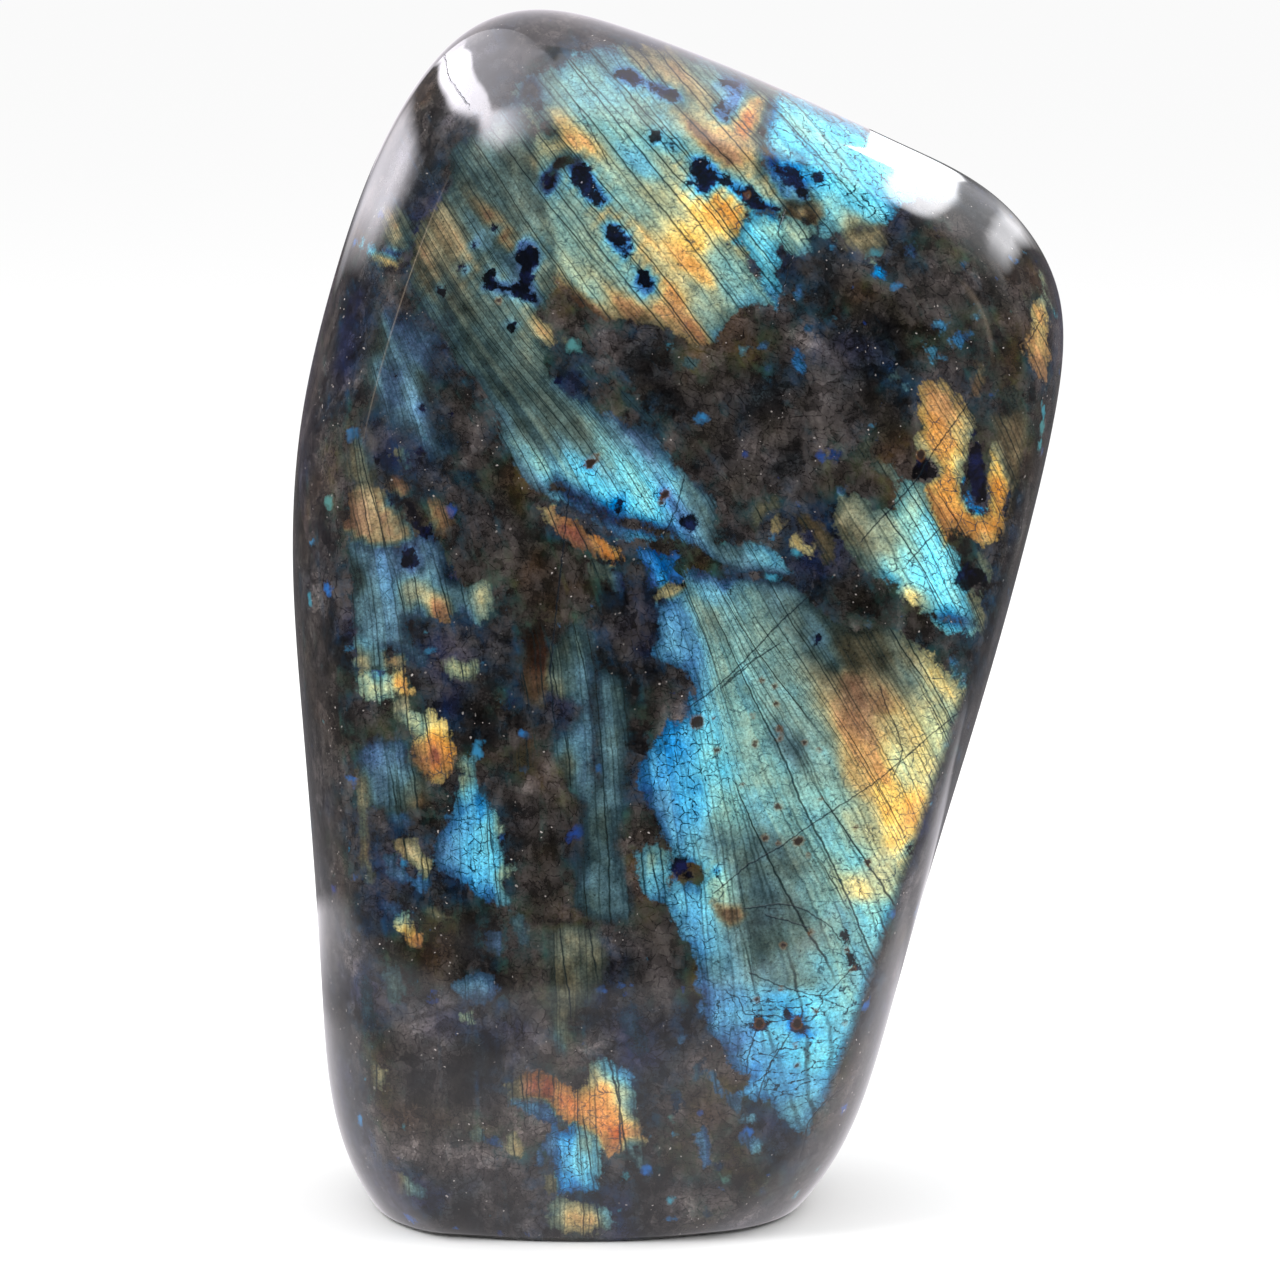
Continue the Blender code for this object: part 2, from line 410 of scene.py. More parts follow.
# The crown patch.
flash((
    -33, 236.5, -29, 238.8, -25, 239.5, -22, 241.6, -17, 243.8, -10, 244.2, -2, 243.4, 8, 240.3,
    16, 236.8, 20, 234.3, 18.4, 231, 17.2, 226, 17.6, 221, 19, 219, 22, 214, 20, 211, 14, 212, 13, 209.5,
    12, 206.8, 9.6, 205.2, 13.3, 204.6, 14.8, 200, 17, 196, 18.8, 193.6, 14, 192.6, 10, 191, 9, 188,
    8, 186, 6, 184.8, 3, 185.2, 0, 187.2, -5, 189.5, -10, 190.6, -14, 190.2, -18, 191.8, -22, 195,
    -25.5, 199, -27, 204, -29, 209, -31, 213, -33, 218, -31, 223, -29, 228, -32, 232,
),
    (-17, 243, 40, 70), (-3, 240.5, 72, 62), (6, 239, 50, 66), (-27, 235, 48, 66), (-15, 235, 44, 84),
    (1, 236, 72, 68), (-20, 231, 47, 88), (-7, 231, 47, 86), (3, 232, 64, 76), (-24, 230, 72, 80),
    (-20, 225.5, 78, 86), (-12, 228, 47, 92), (-4, 226, 50, 94), (8, 228, 75, 80), (-8, 221.5, 38, 84),
    (-14, 219, 54, 86), (-1, 220, 58, 86), (-10, 214, 50, 86), (-24, 212, 48, 78), (-3, 214, 62, 88),
    (4, 212, 75, 106), (11, 211.5, 78, 104), (-20, 205, 50, 87), (-9, 206.5, 72, 85), (3, 206, 75, 110),
    (-12, 200.5, 52, 90), (-4, 201.5, 68, 87), (4, 200, 78, 98), (9, 201, 45, 90), (-18, 196, 53, 90),
    (-9, 196.5, 50, 82), (-1, 195.5, 79, 90), (4, 195.5, 58, 84), (11, 196, 45, 85), (-18, 192, 90, 43),
    (-9, 191.5, 84, 74), (-2, 191.5, 78, 82), (5, 191, 52, 80), (0, 188, 76, 70), (4, 187.5, 85, 75),
    (7.5, 186.5, 40, 70), (-6, 188, 70, 40)
)
# The cyan corner of the crown.
flash((
    19, 232.8, 21, 234.3, 26, 232.8, 34, 229.2, 42, 225, 50, 221, 56, 217, 54, 213.5, 48, 213.8, 44, 212,
    43, 210, 40.5, 208.5, 36, 207.3, 33, 206.3, 31, 207.5, 29.5, 207, 28.5, 210, 26.5, 213, 26.8, 218,
    24.5, 221.5, 20, 222.5, 18, 221.5, 17.4, 225,
),
    (22, 230, 45, 110), (30, 226, 42, 115), (38, 222, 40, 120), (26, 222, 40, 110), (33, 216, 40, 110),
    (38, 212, 38, 105), (42, 212, 36, 100), (30, 213, 44, 100), (37, 207.8, 62, 70), (24, 225, 36, 110),
    (20, 224, 42, 100)
)
# Between it and the crown.
flash((
    17, 223.4, 21, 223, 25, 222, 27.4, 218.6, 27.2, 213.6, 24.6, 213, 21, 213.6, 18.4, 218.6,
),
    (19, 221, 36, 100), (25, 220, 38, 105), (25, 215, 66, 80), (21, 216, 30, 80)
)
# Olive tip.
flash((33, 207.5, 37, 208.5, 41, 209, 41.6, 204.2, 38, 203.2, 33.5, 205.2), (68, 60), edge=1.2)
# Its cyan tongue.
flash((
    13, 209.2, 14.5, 211.5, 18, 211.3, 20, 210.8, 24, 209.8, 27.8, 208.2, 27, 205, 25.2, 202.4,
    22.5, 203.2, 20.6, 205, 19.5, 203.5, 20, 199, 21, 195.5, 19.8, 193.2, 17.6, 196, 16, 200, 13.4, 204.5,
    10, 205.3, 12.5, 207,
),
    (14, 208, 42, 115), (18, 209, 48, 110), (24, 207, 55, 95), (26, 204, 45, 80), (17, 203, 42, 115),
    (18.5, 198, 42, 105), (20, 195, 36, 90)
)
# Orange patch.
flash((
    11.5, 227, 13.5, 226, 16.8, 229.5, 18.2, 232, 17.5, 234.5, 14.5, 233.6, 12.3, 230.5,
),
    (14, 230, 84, 90), (17, 232.5, 78, 85)
)
# Dark gold band.
flash((1, 231, 8, 226, 13, 222, 12.5, 221, 10, 220.5, 7, 222.5, 2, 228), (83, 60))
# Blue pitted box.
flash((
    7, 231.5, 8.5, 229.3, 10, 229, 12, 232, 14.3, 235.8, 13.8, 237, 10, 237.8, 9.5, 236, 10.3, 234.5,
    9, 233,
), (22, 75))
# Brown zone.
flash((20.5, 213.5, 23, 214, 25, 213, 28, 213.5, 29, 211, 27.8, 209, 25, 210, 22, 211), (75, 35))
# The long patch that comes down from the left shoulder.
flash((
    -46, 223, -42, 226.5, -38, 230, -34, 232.2, -31, 229.5, -29, 224, -28, 218, -26, 212, -24.8, 206,
    -24.5, 200, -26, 195, -29, 191.5, -28, 190, -26, 188.6, -24.2, 187, -23, 186, -25.5, 185.4,
    -28, 185.6, -27, 182.5, -26, 178.5, -22, 175, -14, 171, -8, 169, -4, 166.5, -1, 162, 2, 158.5,
    5, 155.5, 7.5, 153.5, 8, 150.5, 6.5, 147.5, 9, 144.5, 12, 145, 16, 145.8, 18.5, 145, 20, 143,
    21.5, 140.8, 23, 139, 22, 137.8, 19, 138.2, 14, 139, 8, 142, 4, 145, 0, 146, -6, 146, -12, 147,
    -18, 150, -24, 154, -30, 157, -32.5, 160.5, -35, 165, -37, 171, -40, 177, -44, 181, -47, 185,
    -50, 190, -54, 196, -54, 205, -51, 210, -46, 216,
),
    (-42, 225, 50, 45), (-38, 228, 50, 55), (-34, 228, 48, 55), (-36, 222, 47, 42), (-32, 220, 50, 46),
    (-40, 217, 44, 42), (-35, 213, 45, 42), (-30, 213, 50, 48), (-25, 217, 78, 50), (-24, 213, 50, 75),
    (-22, 208, 50, 85), (-27, 209, 53, 68), (-36, 208, 80, 45), (-39, 206, 45, 35), (-33, 200, 40, 35),
    (-26, 203, 56, 66), (-27, 197, 60, 62), (-40, 202, 55, 50), (-44, 205, 70, 58), (-48, 207, 70, 54),
    (-46, 201, 64, 46), (-51, 203, 70, 50), (-52, 198, 65, 40), (-45, 195, 55, 35), (-50, 192, 42, 35),
    (-46, 189, 40, 30), (-40, 194, 50, 50), (-37, 190, 48, 50), (-42, 186, 50, 40), (-34, 194, 50, 60),
    (-31, 192.5, 60, 70), (-28, 189, 78, 75), (-33, 187, 50, 60), (-37, 183, 48, 45), (-29, 184, 52, 65),
    (-32, 179, 48, 50), (-28, 176, 50, 45), (-36, 176, 44, 35), (-33, 171, 45, 40), (-26, 172, 50, 42),
    (-22, 170, 50, 42), (-30, 167, 45, 40), (-25, 166, 48, 50), (-19, 167, 50, 50), (-28, 162, 45, 90),
    (-22, 162, 42, 100), (-15, 163, 45, 90), (-12, 167, 38, 60), (-8, 166, 25, 50), (-8, 162, 40, 90),
    (-18, 158, 42, 110), (-10, 158, 42, 115), (-14, 153, 40, 110), (-6, 156, 42, 110), (-8, 151, 40, 110),
    (-1, 158, 40, 90), (3, 155, 45, 60), (5, 151, 45, 50), (1, 150, 22, 70), (-4, 148, 42, 110),
    (0, 147, 35, 90), (4, 146, 35, 70), (8, 147, 42, 50), (-22, 156, 38, 90), (-26, 158, 42, 90),
    (-28, 155, 35, 50), (-20, 152, 35, 80), (-16, 150, 35, 70), (-12, 147.5, 36, 80),
    (-7, 146.5, 42, 100), (12, 143, 42, 60), (16, 143, 40, 80), (19, 141, 42, 90), (22, 139, 48, 90),
    edge=0.6
)
# Orange streak under it.
flash((
    -28.5, 152.5, -26, 152.6, -23, 151, -19, 148.8, -15.5, 146.6, -12.2, 144.2, -11.2, 142.3,
    -13.5, 141.9, -17, 143.2, -20.6, 144.8, -23.6, 146.6, -26.2, 149,
),
    (-27, 151.5, 70, 70), (-23, 150.2, 80, 80), (-18, 147.6, 85, 92), (-23, 148, 92, 60),
    (-19, 145.6, 92, 56), (-15, 144.6, 86, 95), (-12.6, 143.2, 80, 98)
)
# Small pieces between the patches.
for outline, *tones in (
    ((-18, 141.5, -15.5, 141.8, -13.8, 140, -11, 139.5, -9.5, 136.5, -12, 135, -14.5, 137, -16.5, 138.8),
     (-16, 139.5, 60, 55), (-10, 136.5, 15, 50)),
    ((-8.6, 144.6, -6, 145, -3.4, 143.4, -1.6, 141.2, -2.2, 138.6, -3.6, 136.4, -5.6, 136.2, -5.8, 139.8,
      -7.8, 141.4),
     (-6.5, 143, 24, 90), (-4, 142, 22, 100), (-3.5, 138.5, 30, 100), (-5, 137, 15, 80)),
    ((-4.4, 136, -2.5, 137.4, 1, 136.8, 2.4, 135.2, 0.5, 134, -2.6, 134, -4, 134.6), (70, 80)),
    ((1.5, 139.6, 5, 139.2, 5.2, 136.6, 3.2, 135.4, 1.8, 136.8), (35, 85)),
):
    flash(outline, *tones)
# Yellow-gold bits, with dim olive stone beside them.
flash((
    14.6, 153, 17, 154.4, 19.6, 154.8, 20.4, 152.6, 18, 151.4, 16.8, 148.6, 16, 146.2, 14.8, 149,
), (64, 46), edge=0.9)
flash((
    22.5, 151, 26, 151.4, 29.6, 148.8, 31.4, 144.8, 30.6, 140.6, 28.8, 140.2, 28.6, 144.6, 26.6, 147.4,
    23.6, 149.6,
), (72, 40), edge=0.9)
flash((17.6, 149.6, 19.4, 150.6, 21.2, 149.4, 20.6, 147.6, 18.8, 147), (74, 70))
flash((20.8, 146.6, 22.6, 148, 24.6, 146.8, 26.8, 144.4, 26.4, 142.6, 24.4, 143.6, 22, 145.2), (70, 90))
# The big right patch.
flash((
    1.8, 139.8, 8, 139.6, 13, 139.6, 17, 140.4, 21, 139.6, 24, 136.5, 27.5, 132.8, 30.5, 130, 36, 128,
    40.5, 129.5, 45, 127, 50, 123.2, 53, 120.8, 55.5, 117.8, 57.8, 115, 60, 112, 59, 108.5, 57.5, 104.5,
    56.5, 100, 55, 95, 53.5, 90, 51.5, 85.5, 50, 80.5, 49, 77.5, 48, 74, 46.6, 70.5, 45.6, 67.5, 44.6, 64,
    43.6, 60, 42.4, 55, 41.4, 50, 40.6, 45, 39, 40, 36.4, 36, 33, 33, 30, 30, 27.8, 26, 26.4, 22.5,
    24.5, 23.3, 22, 25.2, 20.3, 27.2, 19.6, 29.4, 17.6, 30.6, 15.4, 31.4, 12.6, 32.4, 13.8, 34.4,
    14.4, 35.6, 12.6, 37, 10.6, 39.5, 8.6, 42.5, 6.4, 46, 5, 49.6, 4.3, 52.4, 3.7, 55.4, 4, 58, 4.2, 61,
    2.6, 63, 0.6, 65.6, -1, 68.2, -1.9, 70.4, -1.9, 73.6, -1.3, 76.3, 1.4, 76.6, 4, 75.4, 5.4, 77.5,
    3.8, 79.6, 2.2, 80.4, 0, 82, -1.6, 84, -3.6, 86.8, -4.8, 89.2, -6.2, 91.8, -7, 94.2, -8.8, 96.6,
    -8, 99.2, -7.4, 102.2, -5.4, 103.4, -4, 105, -3, 107.8, -1.6, 109.8, 0, 109, 1.8, 110.2, 3, 111.8,
    2.4, 113.6, 3.4, 116, 2.6, 118.4, 0.8, 120.2, -1.6, 121.2, -3.8, 121.8, -5, 123.4, -3.8, 126,
    -4.2, 129, -3.6, 133, -1, 134.6, 1.5, 136.6,
),
    (4, 137, 38, 80), (13, 135, 47, 75), (21, 133, 44, 55), (1, 127, 30, 80), (7, 130, 50, 72),
    (18, 126, 50, 78), (27, 128, 42, 42), (31, 122, 45, 38), (11, 120, 47, 86), (20, 120, 47, 74),
    (34, 123, 64, 28), (35, 117, 84, 46), (41, 123, 60, 32), (46, 119.5, 53, 62), (53, 117.5, 72, 102),
    (52, 113.5, 58, 93), (40, 114, 74, 66), (36, 108.5, 79, 66), (45, 108, 64, 92), (52, 106, 60, 108),
    (38, 103, 75, 85), (46, 99.5, 64, 110), (51.5, 97.5, 67, 114), (36, 98, 72, 82), (43, 91.5, 71, 112),
    (49, 91, 75, 108), (44.5, 83, 70, 112), (37, 88.5, 62, 90), (42, 78, 60, 98), (14, 109, 47, 90),
    (24, 111, 48, 76), (23.5, 104, 44, 45), (29, 101, 49, 80), (19, 100, 46, 90), (31, 94, 48, 93),
    (8, 101, 43, 104), (-1, 104, 30, 100), (-5, 98, 27, 95), (2, 94, 32, 102), (-4, 92.5, 26, 80),
    (10, 92, 46, 98), (20, 91, 46, 88), (28, 88, 46, 87), (35, 81, 46, 98), (37, 74.5, 66, 108),
    (40, 69.5, 41, 106), (10, 84, 44, 65), (20, 82, 46, 55), (14, 77, 46, 50), (8, 76, 54, 105),
    (22, 71, 46, 50), (15, 68, 46, 45), (29, 72, 45, 85), (33, 66, 45, 90), (25, 64, 49, 60),
    (15, 61.5, 47, 50), (5, 64, 36, 90), (1, 68.5, 34, 90), (3, 73, 38, 92), (8, 58, 40, 70),
    (30, 60, 46, 97), (36, 58, 42, 90), (22, 56.5, 47, 66), (6, 53.5, 28, 80), (12, 50, 32, 87),
    (23, 52, 33, 104), (31, 50, 42, 108), (36, 46, 42, 95), (20, 46, 37, 100), (12, 44, 25, 78),
    (16, 40, 28, 90), (28, 40, 40, 107), (22, 34, 30, 92), (25, 28, 39, 85)
)
# Its left lobe.
flash((
    -8.6, 81.5, -8, 84, -5.5, 84.6, -4, 84.8, -2.2, 82.5, -1.3, 80, -1.6, 77, -2, 74, -3.2, 72.3,
    -5, 72.8, -6.8, 74.8, -8, 77.5,
),
    (-7, 82, 40, 80), (-5.5, 82, 60, 90), (-4, 83, 50, 90), (-3, 80, 42, 90), (-5, 76, 40, 92),
    (-3.5, 73.5, 36, 88)
)
# Its tail.
flash((
    6, 37.2, 7.6, 36.6, 8.8, 34, 11, 32.2, 12.4, 31, 13, 28.6, 14.8, 28, 16, 26.8, 14.8, 25.6, 13.4, 26,
    12.2, 29, 10.4, 30.6, 8, 32.6, 6.6, 34.8,
),
    (7.4, 35.4, 36, 72), (10.4, 31.6, 33, 66), (13.4, 27.6, 38, 66), (15.4, 26.6, 40, 80)
)
# Brown cloud in it.
flash((6.6, 72.8, 9, 71.6, 12.6, 71.4, 13.6, 69.6, 12.4, 68, 10.4, 67.4, 8, 69.6), (72, 36), edge=1.6)
# The patch on the right, cyan and olive.
flash((
    36, 164, 37.5, 165, 41, 162, 43, 160, 46, 157.5, 49, 157.3, 50.5, 154, 52, 150.5, 54, 146.5, 55, 145,
    56.3, 142, 57.5, 138, 59, 134, 60.2, 131.5, 60.8, 128.5, 60, 126, 57.5, 127, 54.5, 126.8, 52, 129,
    50.5, 131, 49, 132, 46.5, 133.5, 45, 135.5, 42.5, 137.5, 40.5, 139, 38, 140.5, 36, 141.8, 34, 143.6,
    32.5, 146, 31, 149, 31, 152, 32.6, 154.8, 35.5, 155.2, 38.5, 154, 39.5, 152, 43, 152, 44.8, 155,
    44, 157, 41, 159, 38, 161,
),
    (37, 163, 62, 39), (41, 160, 60, 45), (34, 153, 62, 62), (34, 149, 64, 57), (37, 146, 64, 57),
    (40, 150, 60, 67), (38, 142, 55, 67), (42, 146, 60, 79), (46, 151, 50, 107), (47, 155, 50, 90),
    (50, 149, 44, 124), (51, 144, 42, 129), (46, 143, 46, 112), (48, 139, 42, 124), (43, 139, 42, 107),
    (52, 137, 42, 124), (47.5, 133.5, 70, 118), (54, 133, 40, 112), (58, 131, 42, 101),
    (57, 127.5, 45, 112), (60, 128, 55, 90)
)
# Olive rim.
flash((58.5, 135, 60.5, 136, 61.5, 133, 62.5, 129, 61.5, 126, 60.3, 128, 59.8, 131.5), (66, 75))
# The orange patch above it.
flash((
    48.5, 176.5, 50.5, 178, 53, 177.5, 56, 175, 58.5, 172.6, 59.3, 170, 59.2, 166.5, 58.3, 163, 57.6, 160,
    57.4, 157, 58, 153.5, 59.5, 151.2, 62, 150.3, 63.5, 151.5, 62.8, 155, 62.6, 158, 62.8, 162,
    63.4, 165.8, 65.2, 165, 66.6, 162.6, 67.2, 159, 67, 155, 66, 151.5, 65.8, 148, 65, 145.5, 62, 144.5,
    60.5, 145.6, 58, 146.5, 56, 147.8, 54.5, 148.5, 54.8, 146, 54, 144.5, 53, 147.5, 51.5, 151, 50.5, 154,
    50, 157, 52.5, 159, 52, 161, 49, 163.5, 47.5, 165.5, 48.8, 168, 48.2, 172,
),
    (50, 175, 78, 85), (54, 173, 76, 80), (52, 168, 81, 98), (56, 170, 70, 90), (50, 163, 66, 90),
    (54, 162, 78, 102), (57, 160, 69, 105), (53, 156, 80, 102), (56, 153, 76, 105), (53, 151.5, 80, 92),
    (56.5, 149.5, 86, 92), (60, 149, 84, 102), (63, 148, 80, 102), (62, 146, 75, 90),
    (64.3, 152, 79, 105), (65, 156, 82, 105), (64, 161, 74, 110), (66, 162, 66, 80)
)
# Its blue-white tip.
flash((57.6, 158, 58.8, 155.5, 59.4, 153, 61.6, 151.6, 60.2, 150.8, 58.4, 152, 57.4, 155), (30, 130))
# Gold strip at the right shoulder.
flash((
    73.8, 198, 74.5, 196, 74, 193.5, 72, 191.5, 71.5, 188, 70.5, 185.5, 70, 183.5, 71.5, 181, 73.5, 178,
    75, 175.5, 75.8, 178, 75.6, 182, 75.2, 187, 75.6, 191, 75, 194, 74.8, 197,
),
    (74, 195, 62, 80), (73.5, 190, 74, 90), (73.5, 184, 78, 85), (75, 178, 80, 70), wraps=True
)
# Cyan wedge.
flash((49.5, 186, 51, 185, 53, 183, 55, 182, 52, 181.5, 50.5, 183.5), (38, 90))
# The left column, from the top down.
flash((
    -67, 192, -62, 193, -57, 191, -52, 190, -49.5, 187, -49, 182, -50, 176, -50.5, 171, -49.5, 167,
    -47.5, 163.5, -50, 164, -54, 167.5, -58, 169.5, -61, 173, -63.5, 176, -66.5, 180, -68, 186,
),
    (-62, 188, 62, 35), (-66, 181, 55, 25), (-64, 178, 50, 40), (-55, 186, 22, 50), (-52, 183, 25, 50),
    (-57, 180, 35, 40), (-58, 176, 25, 50), (-53, 172, 30, 60), (-51, 169, 35, 60), (-56, 169, 35, 50),
    (-50, 176, 50, 35), edge=2.5
)
flash((
    -69.5, 171, -66, 169, -63, 164, -60.5, 158, -62, 156, -65, 156, -68, 158, -70, 164,
),
    (-65.5, 162, 62, 40), (-67, 166, 70, 40), edge=1.5
)
flash((
    -66.5, 155, -63, 157.5, -60.5, 156, -58, 154, -56, 151, -54.5, 149, -53, 146, -55, 144.5, -58, 144.6,
    -62, 144.2, -65, 145, -67.2, 148, -67.6, 152,
),
    (-64, 153, 75, 56), (-60, 152, 78, 61), (-63, 148, 76, 61), (-58, 147, 74, 61), (-55, 147, 70, 56),
    (-67, 150, 86, 47)
)
flash((-59, 158.5, -57.5, 159, -55, 157, -54.6, 155.4, -56.5, 155, -58.6, 156.2), (84, 60), edge=1.1)
flash((
    -58.5, 163.6, -55.5, 164, -54.5, 162, -55, 160.6, -57.2, 162,
),
    (-57, 163, 68, 50), (-55.2, 161.5, 35, 50)
)
flash((
    -50.5, 153.5, -48.5, 154, -46.5, 151.5, -46.2, 148.5, -47.5, 146.6, -49.5, 148.5, -50.6, 151,
), (84, 65), edge=1.1)
flash((-46, 159.6, -42, 160, -40, 158.4, -43, 157, -46, 157.8), (35, 30), edge=1.2)
# Blue and gold, in the middle of the column.
for outline, *tones in (
    ((-66.5, 146.5, -62, 144.6, -57, 144.8, -53.5, 146.5, -50.5, 148.5, -49, 146, -47, 141.5, -45, 138.5,
      -42.5, 136.6, -40, 138.4, -38, 137.2, -37.6, 134, -38, 131.4, -40.6, 129.3, -43, 130.4,
      -45.5, 131.5, -47, 129.7, -50, 130.6, -53, 130.4, -55, 128, -53, 125.5, -51, 122.8, -50.4, 120.6,
      -53, 120.8, -56, 123, -59, 123.6, -61.5, 123, -64, 124.2, -65.6, 127.5, -66.4, 133, -66.8, 140),
     (-63, 141, 30, 43), (-60, 140, 30, 68), (-59, 136, 33, 71), (-62, 133, 38, 51), (-65, 138, 50, 32),
     (-57, 142, 25, 51), (-53, 142, 20, 25), (-50, 144, 32, 53), (-49, 138, 35, 62), (-46, 140, 30, 35),
     (-54, 135, 62, 68), (-51, 134, 60, 79), (-49, 132, 86, 70), (-47.5, 131, 84, 62), (-52, 131, 25, 53),
     (-44, 134, 38, 53), (-42, 133, 50, 53), (-40, 134.5, 60, 84), (-39.5, 131, 60, 79),
     (-43, 131.5, 20, 53), (-58, 129, 35, 61), (-62, 128, 35, 57), (-55, 128, 30, 43), (-53, 124, 30, 43)),
    ((-65.8, 125.5, -64.5, 127, -61.5, 124.8, -59.5, 122.2, -57.8, 121.5, -56.2, 122.5, -56, 121,
      -58.5, 120.4, -61.5, 120, -64.2, 119.6, -65.5, 121),
     (-63.5, 124.5, 36, 71), (-64, 121, 68, 71), (-61, 122, 42, 64), (-58, 122, 84, 71),
     (-56.7, 122.3, 70, 64)),
    ((-64.6, 118.6, -62, 118.8, -59, 118.6, -56, 119, -53.8, 117, -52.4, 115, -54, 114.4, -56.5, 114.4,
      -58, 113.2, -60.5, 112.8, -63, 113.2, -64.8, 115.2),
     (-63, 116, 60, 100), (-61, 114.5, 55, 100), (-60.5, 117.8, 42, 95), (-59, 116, 58, 100),
     (-56.5, 117, 82, 100), (-54, 115.5, 76, 95)),
):
    flash(outline, *tones)
flash((
    -47.4, 120.6, -46, 122.2, -43.5, 121, -41.6, 121.4, -40.8, 119.6, -41.6, 117.8, -44, 118.4, -46, 118.6,
), (62, 100), edge=1.1)
# Gold ring.
flash((
    -58, 113.2, -55.5, 114, -54, 112, -51.5, 110.8, -49, 110.6, -47, 109.6, -46, 106, -45.4, 102,
    -46.2, 99.2, -48, 97, -49.6, 96.2, -51, 98, -53.4, 99.6, -54.6, 101.6, -53.6, 104, -52.6, 105.4,
    -54.6, 107, -56, 109.6, -57.6, 111.4,
),
    (-56, 112.5, 70, 60), (-53.5, 110, 60, 100), (-52, 108, 56, 110), (-49.5, 108.5, 70, 115),
    (-47.5, 107.5, 70, 115), (-49, 105, 76, 102), (-47, 104, 80, 104), (-51, 103.5, 76, 96),
    (-49.5, 102.4, 95, 50), (-53, 101, 80, 60), (-49, 99.5, 84, 100), (-48.5, 97.5, 70, 90),
    (-52, 100, 86, 80)
)
flash((
    -64.5, 104, -61, 105.6, -58, 105, -56, 106.6, -55, 103, -54.5, 100.5, -52, 98.5, -51, 95.5, -50.6, 92,
    -52.5, 90.8, -56, 91, -60, 91.4, -63.6, 92, -65, 97,
),
    (-62, 102, 20, 60), (-58, 102, 30, 50), (-61, 96, 30, 45), (-56, 98, 40, 50), (-53.5, 95, 55, 45),
    (-52, 92.5, 80, 40), (-64.5, 95, 65, 45), edge=1.2
)
flash((
    -65.4, 98, -64.2, 97, -63.6, 90, -63.2, 84, -62.4, 78, -62.4, 75, -63.6, 76, -64.4, 82, -64.8, 90,
),
    (-64.6, 94, 72, 60), (-63.8, 86, 62, 55), (-64, 82, 80, 50), (-63, 78, 60, 60), edge=1
)
flash((-57.6, 89.5, -55.5, 89.6, -54.4, 88, -56, 87), (30, 60), edge=1.1)
flash((
    -57.4, 84.4, -54.5, 84.8, -52.5, 83.6, -50.6, 81, -50, 79, -51.4, 77.6, -53.5, 78.6, -55.5, 80.4,
    -57.6, 82.6,
),
    (-55, 83, 72, 60), (-54, 80.5, 64, 75), (-51.5, 79.5, 66, 85)
)
flash((
    -60, 82, -58, 81.6, -55.6, 79.4, -53.4, 77.4, -51, 76.6, -51.6, 74.6, -54, 74.8, -57, 75, -59.6, 77.4,
),
    (-58, 79, 30, 50), (-54, 76, 30, 80), (-57, 76.4, 20, 60)
)
# Azure patch.
flash((
    -44.6, 100.4, -43.6, 102, -41.5, 101.6, -41, 99.6, -41.4, 98, -40.2, 95.4, -38.6, 92, -36.6, 89.6,
    -35.8, 87.4, -36, 85, -35.6, 80.8, -33.6, 79, -33.8, 77, -35.2, 76, -34.6, 73.6, -34, 71.4,
    -35.4, 70.2, -36.6, 71.8, -37.5, 73.6, -39, 72.4, -40.8, 74, -43, 76, -46, 77, -48.8, 78.6, -50, 82,
    -49, 84.5, -47, 88.5, -46, 91, -44.4, 94, -44, 97.6,
),
    (-43, 100, 60, 90), (-42, 101.4, 42, 80), (-43.4, 97.6, 66, 95), (-42.5, 95, 35, 95),
    (-44, 90, 30, 92), (-40, 92, 29, 100), (-38, 88, 37, 100), (-36.4, 88, 62, 95), (-46, 87, 29, 85),
    (-42, 83, 31, 100), (-47, 80, 27, 82), (-40, 78, 31, 100), (-37, 80, 34, 100), (-35.4, 78.5, 60, 100),
    (-34.4, 77, 60, 80), (-38.5, 74, 22, 90), (-35, 72, 42, 80), (-48, 83, 28, 70)
)
flash((
    -57.6, 67.6, -56.2, 69.4, -54.8, 69.2, -54.4, 67.6, -52.6, 65.6, -51.6, 63.4, -53, 61.6, -54.2, 62.2,
    -55.6, 64.4, -57, 65.8,
),
    (-56.4, 68.6, 50, 100), (-55.5, 66.5, 74, 105), (-54.3, 64.5, 84, 100), (-52.8, 62.8, 90, 80),
    (-53.6, 61.6, 68, 70)
)
for outline, *tones in (
    ((-60, 71.4, -58, 71.2, -57.2, 69.6, -58.6, 69.2), (25, 70)),
    ((-51, 70.4, -49, 70.6, -47.4, 69, -49, 68.8), (68, 75)),
    ((-68.4, 67.6, -66.4, 68.2, -65.4, 66, -66.2, 64.2, -68.2, 65), (38, 70)),
):
    flash(outline, *tones, edge=1.1)
flash((-70, 92, -69.4, 92, -69.2, 86, -69.8, 82, -70.3, 86), (-69.8, 89, 80, 40), (-69.9, 84, 25, 40))
# The dim middle columns.
flash((
    -31, 128, -27, 129, -25.6, 123, -26.4, 117, -28, 113, -31, 113.6, -32, 118, -31.6, 123,
),
    (-29, 124, 90, 22), (-29, 116, 82, 39), (-27, 114, 72, 59), edge=1.5
)
flash((
    -24, 127, -22, 129.5, -19, 129, -17, 126, -17.6, 120, -18, 113, -17, 106, -17.4, 101, -16.6, 96,
    -18, 92, -20, 93.5, -22.6, 96.4, -24, 100, -25.4, 104.4, -22.5, 107, -20.6, 109, -20, 112, -22, 114,
    -25, 115, -27, 117.4, -26.4, 122,
),
    (-24, 126, 52, 39), (-20, 124, 40, 39), (-22, 118, 44, 40), (-24, 115, 60, 68), (-21, 115, 40, 61),
    (-19, 118, 37, 47), (-18.4, 109, 36, 59), (-20, 104, 37, 64), (-24, 104, 42, 64), (-23, 101, 62, 42),
    (-19, 98, 37, 53), (-18, 94, 40, 47), edge=1.3
)
